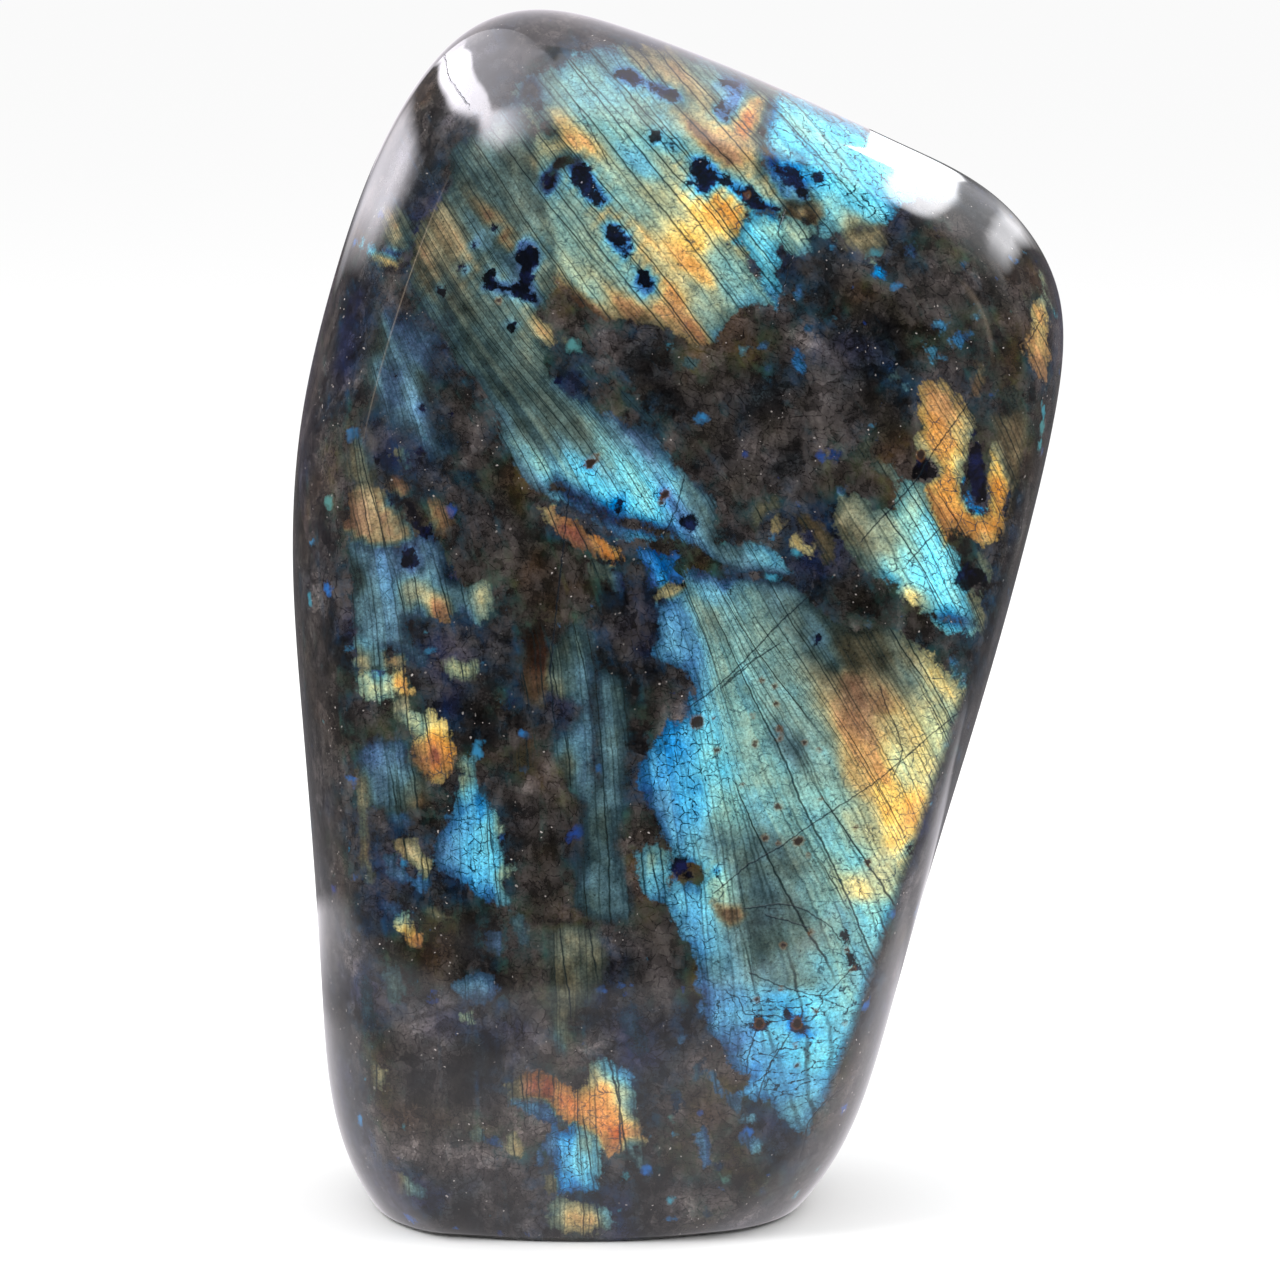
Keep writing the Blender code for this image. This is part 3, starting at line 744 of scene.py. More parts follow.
flash((
    -17, 118, -14, 119, -10.5, 118.4, -9.6, 114, -10.4, 108, -10.8, 102, -10.6, 96, -11.4, 90, -12, 84,
    -10.4, 78, -8.8, 72, -10, 69, -14, 68, -19, 69.4, -22, 72, -20.6, 78, -19.6, 85, -20, 90, -18, 93,
    -16, 98, -16.6, 106,
),
    (-14, 114, 41, 42), (-11, 115, 44, 34), (-14, 108, 41, 44), (-13, 104, 44, 53), (-13, 98, 41, 39),
    (-16, 94, 43, 47), (-14, 90, 42, 30), (-17, 82, 41, 30), (-18, 77, 40, 42), (-14, 78, 42, 34),
    (-12, 74, 41, 39), (-18, 72, 42, 34), (-10, 70, 41, 39), edge=1.5
)
flash((
    -34, 103, -31, 106, -29.6, 107, -29, 103, -30, 99, -33, 99.6,
),
    (-31.1, 102.9, 70, 25), (-30.5, 105, 84, 39), edge=1.5
)
flash((
    -26, 66, -22, 68, -17, 67, -14.6, 62, -15, 56, -18, 52, -21, 50, -23, 46, -22, 42, -23.6, 40.6,
    -25.4, 44, -26, 50, -27, 56,
),
    (-22, 64, 60, 50), (-18, 62, 60, 50), (-22, 56, 60, 35), (-23, 50, 62, 45), (-22.5, 44, 64, 70),
    (-24, 42, 42, 60), (-20, 58, 55, 35), edge=1.6
)
for outline, *tones in (
    ((-39.6, 66.4, -36.6, 65.6, -34.6, 62.6, -36, 61, -38.6, 62), (26, 50)),
    ((-46, 55, -43.6, 56.4, -40.6, 58, -37, 56, -35.6, 53.6, -38, 51.6, -41.6, 52.4, -44, 52.6),
     (-43.5, 54, 34, 70), (-39, 56, 28, 65), (-37, 53, 24, 65), (-41, 53, 30, 55)),
    ((-60, 58.6, -57, 58.4, -56.4, 55, -57, 51, -58.6, 50.6, -59.6, 54), (48, 50)),
    ((-44.2, 48.6, -42.6, 49, -41.4, 47, -42.6, 46.8, -43.8, 48), (62, 90)),
):
    flash(outline, *tones)
# The orange patch at the foot.
flash((
    -35, 34.4, -32, 36.6, -29, 37.4, -26, 36.6, -24.4, 35, -22.6, 34, -21.4, 33, -20.6, 33.4, -19.4, 34.6,
    -18.6, 36.4, -19.4, 38.6, -17.6, 39.6, -15.6, 39.8, -14, 39.2, -12.6, 38, -10.6, 38.4, -9, 36,
    -8.6, 32, -8.8, 28, -8, 25.4, -6.4, 23, -7, 21.8, -10, 21.4, -12, 19.8, -14.4, 18.4, -15.4, 20.6,
    -16.6, 23, -19, 24.6, -21, 26.4, -23, 27, -25, 28.2, -26.4, 30.4, -29, 31, -31.6, 31, -34.4, 31.6,
),
    (-33, 33.5, 66, 55), (-29, 35, 90, 75), (-27, 33.5, 94, 75), (-30, 32, 86, 65), (-24, 32, 82, 85),
    (-22, 29.5, 84, 90), (-18, 31, 82, 95), (-15, 33, 80, 95), (-17, 36, 66, 80), (-15, 38, 40, 85),
    (-13, 37, 35, 90), (-10, 36, 33, 85), (-11, 32, 60, 90), (-9.6, 30, 42, 60), (-13, 28, 84, 95),
    (-16, 27, 80, 90), (-10.6, 28, 66, 95), (-12, 24, 90, 95), (-9, 24, 86, 80), (-13, 21, 84, 80),
    (-18, 27, 78, 90), (-9.4, 21.4, 40, 80)
)
flash((
    -34, 31, -30, 31.4, -27, 31, -25.4, 28.6, -24.6, 26.4, -27, 26, -30, 28, -33, 29,
),
    (-30, 29.5, 34, 75), (-27, 28, 28, 75), (-25, 26.6, 20, 70)
)
# Azure leg under it.
flash((
    -26, 25.6, -23, 25, -21.4, 26, -19, 25, -16.4, 23.4, -15.6, 21, -15.4, 18.6, -16, 15, -16.6, 12.4,
    -19, 11.4, -22, 11, -24.6, 11.2, -25, 15, -25.6, 19, -27, 19.4, -28.4, 17.4, -29, 20, -27.4, 23,
),
    (-22.5, 23, 28, 100), (-24, 18, 28, 95), (-19.6, 18, 38, 95), (-17, 21, 48, 90), (-17, 17, 45, 90),
    (-18.4, 14, 33, 100), (-22.6, 14, 28, 100), (-21, 12, 25, 90), (-27, 20, 30, 70), (-19, 22.6, 50, 85)
)
# Gold bar at the foot.
flash((
    -27, 8, -24.6, 10, -21, 9.4, -17.4, 8.6, -14.6, 7.4, -13, 5, -14, 3, -19, 2.6, -24, 2.6, -27.6, 3.6,
),
    (-25, 7, 62, 80), (-21, 5, 70, 80), (-17, 4.5, 72, 80), (-14.5, 5.6, 40, 80)
)
# Small bits near the foot.
for outline, *tones in (
    ((-35, 23.4, -33.6, 24, -31.6, 21.6, -31.8, 18.8, -33.4, 18.6, -35, 20.4), (68, 70)),
    ((-27.6, 15, -25.6, 15.6, -24.6, 12, -26, 10.8, -27.4, 12), (68, 60)),
    ((-42.4, 23.8, -40.6, 24.6, -39, 22.6, -37.2, 22.8, -36.8, 21.2, -38.6, 20.8, -40.6, 22),
     (-41.4, 23.8, 60, 65), (-38.2, 21.8, 22, 75)),
    ((-66, 41, -64, 41.6, -63, 38.4, -60.4, 36.6, -60.2, 33.4, -61.8, 31.8, -64, 33, -66, 34.4, -67.4, 37),
     (-65, 39.4, 35, 60), (-65.6, 36, 55, 70), (-63, 35.4, 84, 70), (-61.4, 34.4, 62, 75),
     (-66.4, 33.4, 30, 60)),
    ((-66, 32, -63.8, 31.4, -63.6, 28.6, -64.4, 24, -64, 20.6, -65.2, 20, -66, 24, -66.6, 28), (30, 55)),
    ((-59, 13.6, -57, 14.6, -54.6, 13.4, -52, 11, -52.6, 9, -55.6, 9.4, -58, 10.6),
     (-57.8, 12.6, 80, 60), (-55.4, 12.6, 50, 70), (-53, 10.4, 42, 50)),
    ((3.6, 23.6, 5.2, 24.4, 6.4, 21, 6.2, 17.4, 5, 16.6, 4.2, 19.6), (28, 70)),
    ((12.6, 23.4, 14, 25, 15.6, 23, 17.6, 19.8, 16.4, 18.8, 14, 20, 12.8, 21.4),
     (14.7, 21.6, 28, 70), (16.4, 19.8, 50, 80)),
    ((-1.4, 32, 0.2, 33.4, 0.6, 30.6, -0.2, 27.6, -1.2, 28.6), (26, 45)),
    ((-1, 42, -0.4, 43.4, 1.6, 44.6, 1, 42.6, -0.2, 41.8), (28, 70)),
    ((3.4, 39, 4.6, 39.4, 4.8, 36.6, 3.8, 35.6), (35, 50)),
    ((22.6, 14.6, 24.8, 15, 24, 12.4, 22.4, 11.6), (22, 50)),
    ((-10.4, 20.4, -8.4, 20.8, -6.6, 18, -8.6, 16.6), (50, 50)),
):
    flash(outline, *tones)
# Small lone pieces of flash in the dark stone, as spots and short dashes.
for *place, width, order, glow in (
    (24, 195.5, 2.2, 28, 80), (26, 188.5, 1.6, 30, 70), (31, 190.5, 1.4, 42, 80),
    (40.5, 199.5, 2.8, 26, 105), (39.4, 201.6, 1.6, 60, 80), (46.8, 204, 1.4, 20, 70),
    (52.5, 207, 1.6, 12, 70), (57.5, 201.5, 1.2, 30, 70), (59, 187.5, 1.4, 30, 90),
    (60.5, 190.5, 1.2, 40, 80), (53, 189, 2.2, 32, 90), (56.6, 186, 2.4, 30, 90), (31, 163, 2.6, 14, 85),
    (33, 156, 1.4, 30, 60), (46.5, 177.5, 1.4, 45, 70), (43.5, 179, 1.2, 50, 60), (13, 184, 1.6, 48, 70),
    (16.7, 185, 1.2, 30, 70), (18, 180.5, 1.4, 30, 60), (55.5, 121, 1.4, 36, 90),
    (56.5, 119.3, 1.1, 40, 90), (58.5, 117.5, 1.2, 42, 80), (17.5, 218, 1.6, 85, 80),
    (24.8, 211.3, 1.5, 76, 80), (-34, 113.5, 3, 20, 45), (8.6, 16.6, 1.6, 30, 40), (6, 6, 1.8, 26, 40),
    (17.5, 10, 1.6, 22, 45), (-0.5, 48.5, 1.6, 25, 50), (2.6, 181.5, 2, 50, 50),
):
    flash(place, (order, glow), width=width, edge=0.6, wraps=True)
for *path, width, order, glow in (
    (24, 184, 24.3, 181, 1.5, 28, 90), (-64, 204, -61, 202, 1.5, 42, 110),
    (-61, 202, -58.6, 201.2, 2, 72, 85), (-59.5, 203, -56, 204.4, 1.4, 22, 70),
    (-32.5, 68, -31.5, 65, 3, 42, 50), (-64, 54, -63, 46, 3, 35, 30), (-10, 49, -8, 43, 4, 26, 30),
    (67.5, 175, 68, 165, 2.4, 60, 40), (61, 142, 63, 138, 2, 62, 75), (-20, 181, -12, 176, 1.2, 45, 40),
    (-12, 176, -3, 168.5, 1.2, 40, 35), (60, 175, 60.8, 180, 1.4, 74, 50),
):
    flash(path, (order, glow), width=width, edge=0.7, wraps=True)
flash((
    -60, 212, -57, 212.5, -54, 209, -53.5, 205, -55, 203, -58, 204, -60.5, 207,
),
    (-58, 209, 74, 55), (-55, 205, 45, 50), edge=1.0, wraps=True
)
# The dim brown margin down the right flank.
flash((
    64, 170, 69, 172, 74, 163, 72, 150, 68.6, 138, 65.4, 124, 62.6, 112, 60.5, 101, 58.6, 103, 61.4, 116,
    63.2, 128, 66.2, 142, 67.6, 156,
),
    (69, 160, 72, 42), (68, 146, 78, 40), (64, 127, 70, 38), (60.5, 107, 62, 35), edge=1.5
)

# The back: slanting bands along the cleavage, torn across it, and dim columns beside them.
for outline, *tones in (
    ((12, 50, 15, 53, 19, 50, 23, 52, 24, 47, 29, 45, 33, 48, 36, 46, 40, 52, 42, 60, 44, 66, 43, 73,
      47, 79, 49, 86, 47, 93, 43, 99, 44, 104, 39, 109, 35, 116, 36, 121, 30, 125, 26, 132, 22, 131,
      17, 139, 14, 147, 10, 145, 8, 150, 4, 147, 5, 140, 1, 137, 3, 131, -2, 133, -6, 130, -3, 123,
      1, 119, -2, 113, 3, 108, 7, 109, 8, 101, 4, 97, 9, 92, 10, 84, 14, 80, 12, 74, 8, 77, 5, 73, 9, 67,
      13, 68, 14, 61, 10, 57),
     (18, 55, 26, 80), (32, 52, 30, 95), (20, 66, 34, 90), (36, 66, 42, 100), (12, 72, 20, 60),
     (27, 78, 44, 60), (42, 82, 60, 100), (46, 90, 72, 105), (16, 88, 36, 90), (28, 92, 46, 90),
     (38, 102, 70, 100), (12, 104, 28, 85), (22, 108, 47, 50), (33, 116, 78, 95), (4, 116, 26, 80),
     (14, 120, 42, 95), (24, 127, 68, 90), (0, 128, 36, 80), (11, 134, 50, 90), (8, 146, 84, 85)),
    ((-16, 158, -11, 161, -8, 157, -3, 160, -5, 166, -10, 172, -9, 177, -16, 183, -21, 190, -20, 195,
      -27, 201, -31, 209, -29, 214, -36, 220, -42, 228, -46, 225, -49, 229, -54, 224, -52, 217, -56, 214,
      -52, 207, -47, 208, -44, 200, -48, 197, -45, 190, -39, 187, -38, 181, -33, 180, -31, 173, -25, 170,
      -22, 163),
     (-10, 161, 24, 80), (-18, 166, 36, 90), (-10, 170, 40, 95), (-28, 176, 28, 80), (-18, 180, 46, 95),
     (-36, 188, 36, 60), (-24, 192, 52, 90), (-44, 192, 26, 80), (-32, 202, 66, 95), (-46, 204, 44, 90),
     (-36, 214, 80, 95), (-50, 213, 60, 60), (-44, 222, 84, 90), (-51, 222, 70, 80)),
    ((24, 168, 27, 172, 31, 168, 34, 171, 31, 178, 26, 184, 27, 189, 20, 195, 15, 203, 16, 208, 9, 213,
      4, 220, 0, 217, -4, 222, -8, 219, -5, 212, -9, 210, -4, 203, 1, 204, 4, 196, 1, 192, 7, 188,
      11, 189, 14, 181, 12, 177, 18, 172),
     (28, 172, 24, 85), (18, 176, 30, 60), (24, 183, 40, 100), (12, 186, 26, 80), (14, 197, 44, 100),
     (4, 200, 36, 70), (8, 208, 56, 90), (-4, 208, 40, 80), (0, 216, 74, 90)),
    ((55, 140, 58, 145, 62, 142, 65, 148, 63, 156, 65, 162, 60, 170, 57, 179, 52, 186, 49, 183, 46, 188,
      43, 184, 47, 176, 45, 171, 50, 165, 53, 166, 53, 157, 50, 153, 54, 147),
     (58, 146, 30, 90), (62, 152, 50, 95), (56, 156, 44, 60), (60, 164, 72, 95), (52, 170, 62, 80),
     (54, 178, 80, 95), (47, 184, 88, 70)),
    ((-64, 84, -61, 88, -58, 85, -55, 91, -57, 99, -54, 105, -56, 116, -53, 122, -56, 131, -54, 140,
      -57, 148, -60, 145, -62, 152, -66, 149, -65, 139, -68, 134, -66, 124, -69, 119, -66, 108, -68, 101,
      -65, 95),
     (-61, 90, 22, 80), (-58, 98, 34, 90), (-65, 103, 28, 70), (-58, 112, 42, 95), (-66, 118, 40, 60),
     (-57, 126, 46, 60), (-64, 132, 68, 90), (-57, 140, 42, 90), (-63, 147, 80, 80)),
    ((-44, 60, -40, 64, -37, 61, -34, 67, -36, 76, -33, 83, -35, 93, -32, 99, -35, 108, -39, 105,
      -41, 111, -44, 106, -42, 97, -46, 93, -43, 84, -46, 76, -44, 68),
     (-38, 66, 24, 70), (-42, 76, 36, 40), (-36, 84, 44, 50), (-43, 92, 40, 40), (-36, 100, 50, 60),
     (-41, 107, 66, 70)),
    ((-28, 92, -23, 96, -20, 92, -14, 98, -16, 110, -12, 118, -15, 130, -18, 138, -22, 134, -26, 140,
      -31, 136, -28, 126, -32, 120, -28, 110, -31, 102),
     (-22, 98, 40, 30), (-18, 112, 46, 34), (-28, 114, 30, 26), (-20, 128, 42, 36), (-28, 134, 50, 40)),
    ((-58, 26, -54, 31, -50, 28, -46, 33, -47, 41, -43, 46, -47, 53, -51, 49, -54, 52, -57, 45, -55, 39,
      -60, 35),
     (-56, 31, 66, 80), (-49, 34, 50, 80), (-52, 42, 36, 90), (-48, 49, 26, 80)),
    ((2, 16, 7, 20, 11, 17, 17, 21, 21, 18, 26, 24, 22, 30, 23, 35, 17, 37, 13, 33, 9, 36, 6, 30, 1, 28,
      -1, 22),
     (4, 22, 84, 70), (13, 24, 74, 80), (22, 24, 50, 80), (10, 32, 62, 70), (19, 33, 32, 85)),
    ((-20, 22, -15, 26, -12, 23, -9, 29, -12, 36, -9, 42, -14, 46, -17, 41, -21, 43, -19, 34, -23, 30),
     (-15, 26, 40, 50), (-13, 34, 30, 60), (-16, 42, 44, 50)),
):
    flash(outline, *tones, edge=0.7, side=1)
for *path, width, order, glow in (
    (51, 104, 47, 113, 2.6, 70, 90), (46, 121, 42, 128, 1.8, 84, 80),
    (38, 131, 33, 139, 31, 141, 2.4, 60, 80), (24, 145, 19, 152, 1.8, 30, 90),
    (14, 154, 12, 158, 2.2, 42, 80), (-2, 148, -4, 152, 2.6, 26, 80), (-10, 142, -13, 147, 1.6, 20, 70),
    (2, 64, 0, 68, 2.4, 24, 70), (-4, 84, -5, 91, 2, 40, 60), (1, 92, 0, 95, 1.4, 60, 70),
    (30, 38, 27, 42, 2.2, 40, 80), (37, 40, 36, 42, 1.4, 70, 70), (-1, 172, -5, 178, 2, 30, 90),
    (-12, 190, -16, 196, 1.6, 42, 80), (-24, 206, -27, 211, 2.2, 70, 80),
    (-22, 222, -28, 230, 2.6, 30, 80), (-58, 206, -61, 200, 2.4, 36, 80),
    (-52, 196, -53, 190, 1.8, 26, 70), (-40, 176, -39, 171, 1.6, 22, 70), (22, 202, 18, 209, 2.2, 30, 90),
    (28, 196, 26, 199, 1.4, 62, 80), (38, 170, 36, 176, 1.8, 42, 80), (44, 160, 42, 163, 2.4, 24, 80),
    (48, 192, 45, 197, 2, 36, 90), (57, 134, 56, 136, 1.6, 50, 80), (66, 172, 63, 180, 1.6, 66, 60),
    (-50, 108, -49, 118, 1.6, 26, 60), (-60, 74, -59, 79, 2, 30, 70), (-51, 66, -50, 70, 1.4, 44, 70),
    (-50, 158, -51, 164, 2.2, 40, 60), (-70, 160, -71, 166, 1.6, 62, 60), (-28, 62, -27, 72, 2.4, 40, 35),
    (-20, 56, -20, 60, 1.6, 24, 60), (-34, 40, -33, 44, 1.8, 30, 60), (-30, 26, -29, 29, 1.4, 60, 60),
    (12, 8, 10, 10, 1.8, 28, 50), (-66, 64, 2.4, 20, 60), (-34, 150, 2, 22, 60), (20, 222, 2.2, 30, 70),
    (36, 208, 1.8, 40, 70), (54, 200, 2.2, 26, 70), (-42, 16, 2, 26, 50), (-9, 12, 1.8, 24, 50),
    (34, 152, 1.6, 20, 70), (8, 168, 1.8, 24, 70), (-2, 46, 1.8, 22, 60), (-52, 176, 1.8, 50, 60),
    (-14, 212, 2, 40, 70),
):
    flash(path, (order, glow), width=width, edge=0.8, side=1, wraps=True)
for outline in (
    (46, 83, 49, 88, 50, 84, 48, 80), (7, 100, 10, 103, 9, 107, 12, 108, 13, 102, 10, 99),
    (-41, 197, -37, 195, -34, 190, -36, 189, -40, 192, -43, 193), (-8, 209, -3, 207, -1, 204, -5, 205),
    (-67, 131, -64, 127, -65, 121, -67, 122), (26, 47, 30, 49, 32, 46, 28, 45),
    (52, 164, 55, 161, 54, 157, 52, 159),
):
    pit(outline, halo=0.3, side=1)
for *place, width in (
    (33, 84, 1.6), (35, 82.4, 1), (21, 98, 1.2), (15, 128, 1.4), (30, 112, 0.9), (-22, 186, 1.3),
    (-46, 216, 1.5), (-14, 170, 1), (17, 191, 1.4), (-58, 104, 1.3), (-38, 90, 1.2), (14, 27, 1.2),
    (-52, 38, 1.2), (58, 172, 1.3), (38, 60, 1), (24, 70, 0.8),
):
    pit(place, width, halo=0.4, side=1)
for *path, width in (
    (8, 80, 17, 78.4, 24, 80.6, 33, 76.8, 46, 75, 0.5), (33, 77, 30, 70, 31.6, 64, 29, 58, 0.4),
    (2, 112, 11, 113.8, 17, 110.6, 28, 111.2, 38, 107, 0.4), (-6, 124, 4, 122, 9, 124.6, 22, 120, 0.7),
    (-33, 182, -27, 184.6, -22, 183, -12, 186, 0.6), (-50, 208, -41, 209.4, -36, 206.6, -27, 208, 0.4),
    (6, 186, 13, 189.6, 20, 188.4, 29, 191, 0.5), (48, 166, 54, 168.4, 62, 166, 0.5),
    (-69, 113, -62, 115.4, -52, 113, 0.5),
):
    vein(path, width, side=1)

# The flanks: a few pieces each, in (y, z), where the same bands come out at the side.
for side, outline, *tones in (
    (2, (-4, 126, 1, 121, 6, 124, 10, 118, 15, 123, 21, 120, 24, 127, 29, 131, 27, 139, 31, 146, 28, 153,
      30, 161, 24, 166, 21, 174, 16, 170, 12, 177, 8, 184, 4, 178, 1, 182, -2, 174, -6, 170, -3, 162,
      -8, 157, -4, 150, -7, 143, -3, 136, -7, 131),
     (2, 126, 24, 90), (14, 124, 34, 90), (26, 134, 42, 100), (6, 134, 40, 90), (-4, 142, 28, 80),
     (14, 140, 46, 60), (26, 150, 50, 90), (4, 150, 44, 90), (16, 156, 68, 95), (-4, 160, 36, 80),
     (24, 164, 78, 90), (6, 166, 50, 70), (10, 176, 84, 90), (0, 174, 42, 90)),
    (2, (6, 62, 11, 58, 15, 63, 20, 60, 24, 68, 22, 75, 26, 81, 23, 90, 25, 97, 20, 104, 17, 99, 12, 102,
      10, 94, 5, 90, 8, 83, 4, 76, 8, 70),
     (12, 63, 22, 80), (20, 70, 36, 90), (9, 78, 30, 60), (20, 84, 46, 90), (12, 92, 42, 80),
     (20, 99, 70, 90)),
    (2, (-2, 26, 3, 30, 8, 27, 12, 33, 9, 40, 11, 47, 6, 51, 2, 46, -2, 48, -4, 40, -1, 34),
     (2, 32, 66, 70), (7, 40, 42, 80), (2, 46, 26, 80)),
    (2, (14, 196, 18, 192, 22, 187, 24, 193, 20, 200, 17, 206, 13, 203),
     (20, 192, 28, 80), (15, 202, 44, 80)),
    (-2, (-6, 108, -1, 104, 4, 107, 9, 102, 13, 108, 18, 106, 22, 113, 19, 121, 23, 128, 20, 138, 24, 146,
      19, 152, 16, 160, 11, 157, 8, 164, 3, 160, -1, 163, -3, 154, -7, 150, -3, 143, -8, 136, -5, 127,
      -9, 120, -4, 115),
     (-2, 110, 26, 80), (10, 108, 36, 90), (20, 116, 42, 90), (-4, 122, 30, 90), (8, 122, 44, 60),
     (20, 130, 50, 90), (-4, 134, 42, 95), (9, 138, 48, 90), (20, 146, 70, 90), (-2, 150, 36, 90),
     (10, 156, 68, 90), (2, 160, 82, 80)),
    (-2, (6, 176, 11, 172, 15, 177, 19, 183, 16, 190, 18, 197, 13, 204, 10, 198, 6, 201, 4, 193, 7, 186),
     (11, 176, 24, 80), (16, 186, 40, 90), (8, 190, 46, 60), (13, 198, 74, 90)),
    (-2, (8, 44, 13, 40, 17, 46, 23, 44, 26, 52, 23, 60, 27, 67, 24, 76, 18, 80, 15, 73, 10, 76, 8, 67,
      4, 62, 8, 55),
     (13, 46, 66, 70), (22, 50, 50, 80), (10, 60, 36, 80), (22, 66, 42, 90), (17, 75, 24, 80)),
    (-2, (-12, 66, -8, 62, -5, 68, -2, 74, -6, 82, -4, 88, -9, 92, -13, 86, -11, 78),
     (-8, 68, 40, 50), (-8, 86, 26, 60)),
):
    flash(outline, *tones, edge=0.7, side=side, wraps=True)
for side, *path, width, order, glow in (
    (2, 33, 122, 31, 114, 2.4, 30, 80), (2, 2, 112, 7, 108, 2, 24, 80),
    (2, 14, 112, 17, 108, 1.6, 42, 80), (2, 28, 172, 26, 180, 2, 70, 80),
    (2, -4, 190, -1, 196, 1.8, 26, 80), (2, 30, 84, 29, 92, 2.2, 40, 80), (2, -2, 68, 0, 75, 2.4, 26, 70),
    (2, 16, 44, 18, 50, 2, 50, 70), (2, -8, 96, -6, 102, 1.6, 24, 70), (2, 20, 22, 2, 26, 60),
    (-2, 28, 120, 27, 128, 2.2, 30, 80), (-2, -2, 96, 3, 92, 2, 24, 80),
    (-2, 14, 96, 16, 90, 2.4, 40, 80), (-2, 26, 164, 24, 170, 1.8, 66, 80),
    (-2, -6, 172, -3, 178, 2, 26, 70), (-2, 22, 206, 19, 212, 1.8, 40, 80),
    (-2, 30, 80, 31, 88, 1.6, 24, 70), (-2, 6, 26, 10, 30, 2.4, 30, 60), (-2, -14, 44, 2, 26, 60),
    (-2, 28, 32, 1.8, 50, 60),
):
    flash(path, (order, glow), width=width, edge=0.8, side=side, wraps=True)
for side, *path, width in (
    (2, -6, 146, 4, 144, 12, 147.6, 20, 144, 30, 147, 0.5), (2, 8, 160, 12, 152, 10, 144, 0.4),
    (2, 4, 80, 12, 82.4, 24, 79, 0.4), (-2, -8, 128, 2, 131, 10, 128.4, 22, 133, 0.5),
    (-2, 10, 150, 7, 142, 9, 133, 0.4), (-2, 6, 60, 14, 62.4, 25, 59, 0.4),
):
    vein(path, width, side=side)
for side, *place, width in (
    (2, 6, 156, 1.8), (2, 8, 157.4, 1.2), (2, 22, 132, 1.2), (2, 12, 168, 1), (2, 16, 76, 1.2),
    (-2, 14, 116, 1.6), (-2, 0, 144, 1.2), (-2, 1.6, 145, 0.9), (-2, 14, 150, 1), (-2, 16, 56, 1.2),
):
    pit(place, width, halo=0.4, side=side)

# Black inclusions.
for outline in (
    (-12.6, 239.2, -10.5, 239.8, -8, 238.6, -7.4, 237.4, -9.5, 237.2, -11.8, 237.9),
    (-6.4, 237.2, -4.6, 236.9, -2.5, 236, -0.4, 235.2, 0.4, 234, -1.2, 233.6, -3.6, 234.4, -5.6, 235.8),
    (3, 221.8, 4.6, 222.2, 7.2, 220.4, 8.6, 218.8, 11, 217.6, 10, 216.8, 7.6, 217.6, 5.8, 215.9,
     4.2, 215.8, 4.4, 217.4, 3, 219.4),
    (11, 216.8, 14, 216.2, 16.6, 213.8, 19.8, 212.4, 19.4, 211.6, 16, 212, 13.4, 214.2, 11.4, 215.6),
    (18.4, 222, 19.8, 221.4, 20.4, 219.8, 22, 220.6, 23.8, 220.2, 24.2, 218.4, 25.4, 217, 25.8, 214.4,
     25, 214.2, 23.8, 216.4, 22.4, 216.8, 21.8, 218.6, 19.8, 219),
    (-21.5, 220.6, -19.5, 221, -17.8, 218.8, -16.4, 216.4, -14.8, 213.8, -16.2, 213, -18.6, 214.4,
     -20, 216.6, -21.6, 218.6),
    (-27.2, 218.6, -25.4, 218.9, -25.6, 217.2, -26.4, 215.6, -27.2, 216.4),
    (-14.6, 208.9, -12.8, 209.2, -11.2, 208, -9.8, 206.4, -9.6, 204.2, -11, 203.2, -12.8, 204.6,
     -14.4, 206.8),
    (-8, 199.2, -6.6, 199.4, -5.2, 198, -5, 196.2, -6.6, 195.4, -8, 196.4, -8.6, 197.8),
    (-32, 205.6, -29.6, 205.6, -28.4, 203.8, -28.6, 201.5, -30, 199, -29.4, 196, -28.6, 193.8, -31, 194.4,
     -33.5, 195.5, -36.5, 196, -39.5, 196.8, -37.5, 197.5, -34, 196.9, -31.8, 197.4, -31.6, 200,
     -32.6, 203),
    (22, 49.5, 23.4, 48, 25, 48.2, 25.4, 46, 26.6, 44.6, 25.4, 44.4, 24, 45.6, 22.8, 46.2),
    (-55.6, 144, -53.5, 144.6, -52.6, 142, -53.8, 139.8, -55.4, 141),
    (-55, 153.6, -53.6, 152.6, -51.6, 150.5, -50, 147.6, -50.6, 146, -52.6, 147.4, -54, 150),
):
    pit(outline)
for outline in (
    (59.6, 167, 61.4, 163.5, 62, 160, 61.6, 156.5, 62.4, 154.4, 61.6, 153, 60.4, 153.4, 59, 155,
     58.4, 158.5, 58.8, 162),
    (47.4, 160.6, 48.4, 162.6, 50, 162, 52, 160.4, 52.2, 158.6, 50, 157.6, 48, 158.6),
    (56.5, 137.5, 58.5, 141.2, 60, 140, 61.5, 139, 62.6, 136.6, 60, 136.4, 58, 136),
    (33.7, 65.8, 34.4, 65.4, 35, 62, 35.8, 59, 36.8, 57, 36.2, 56.8, 35.2, 58.8, 34.4, 62),
):
    pit(outline, halo=0.15)
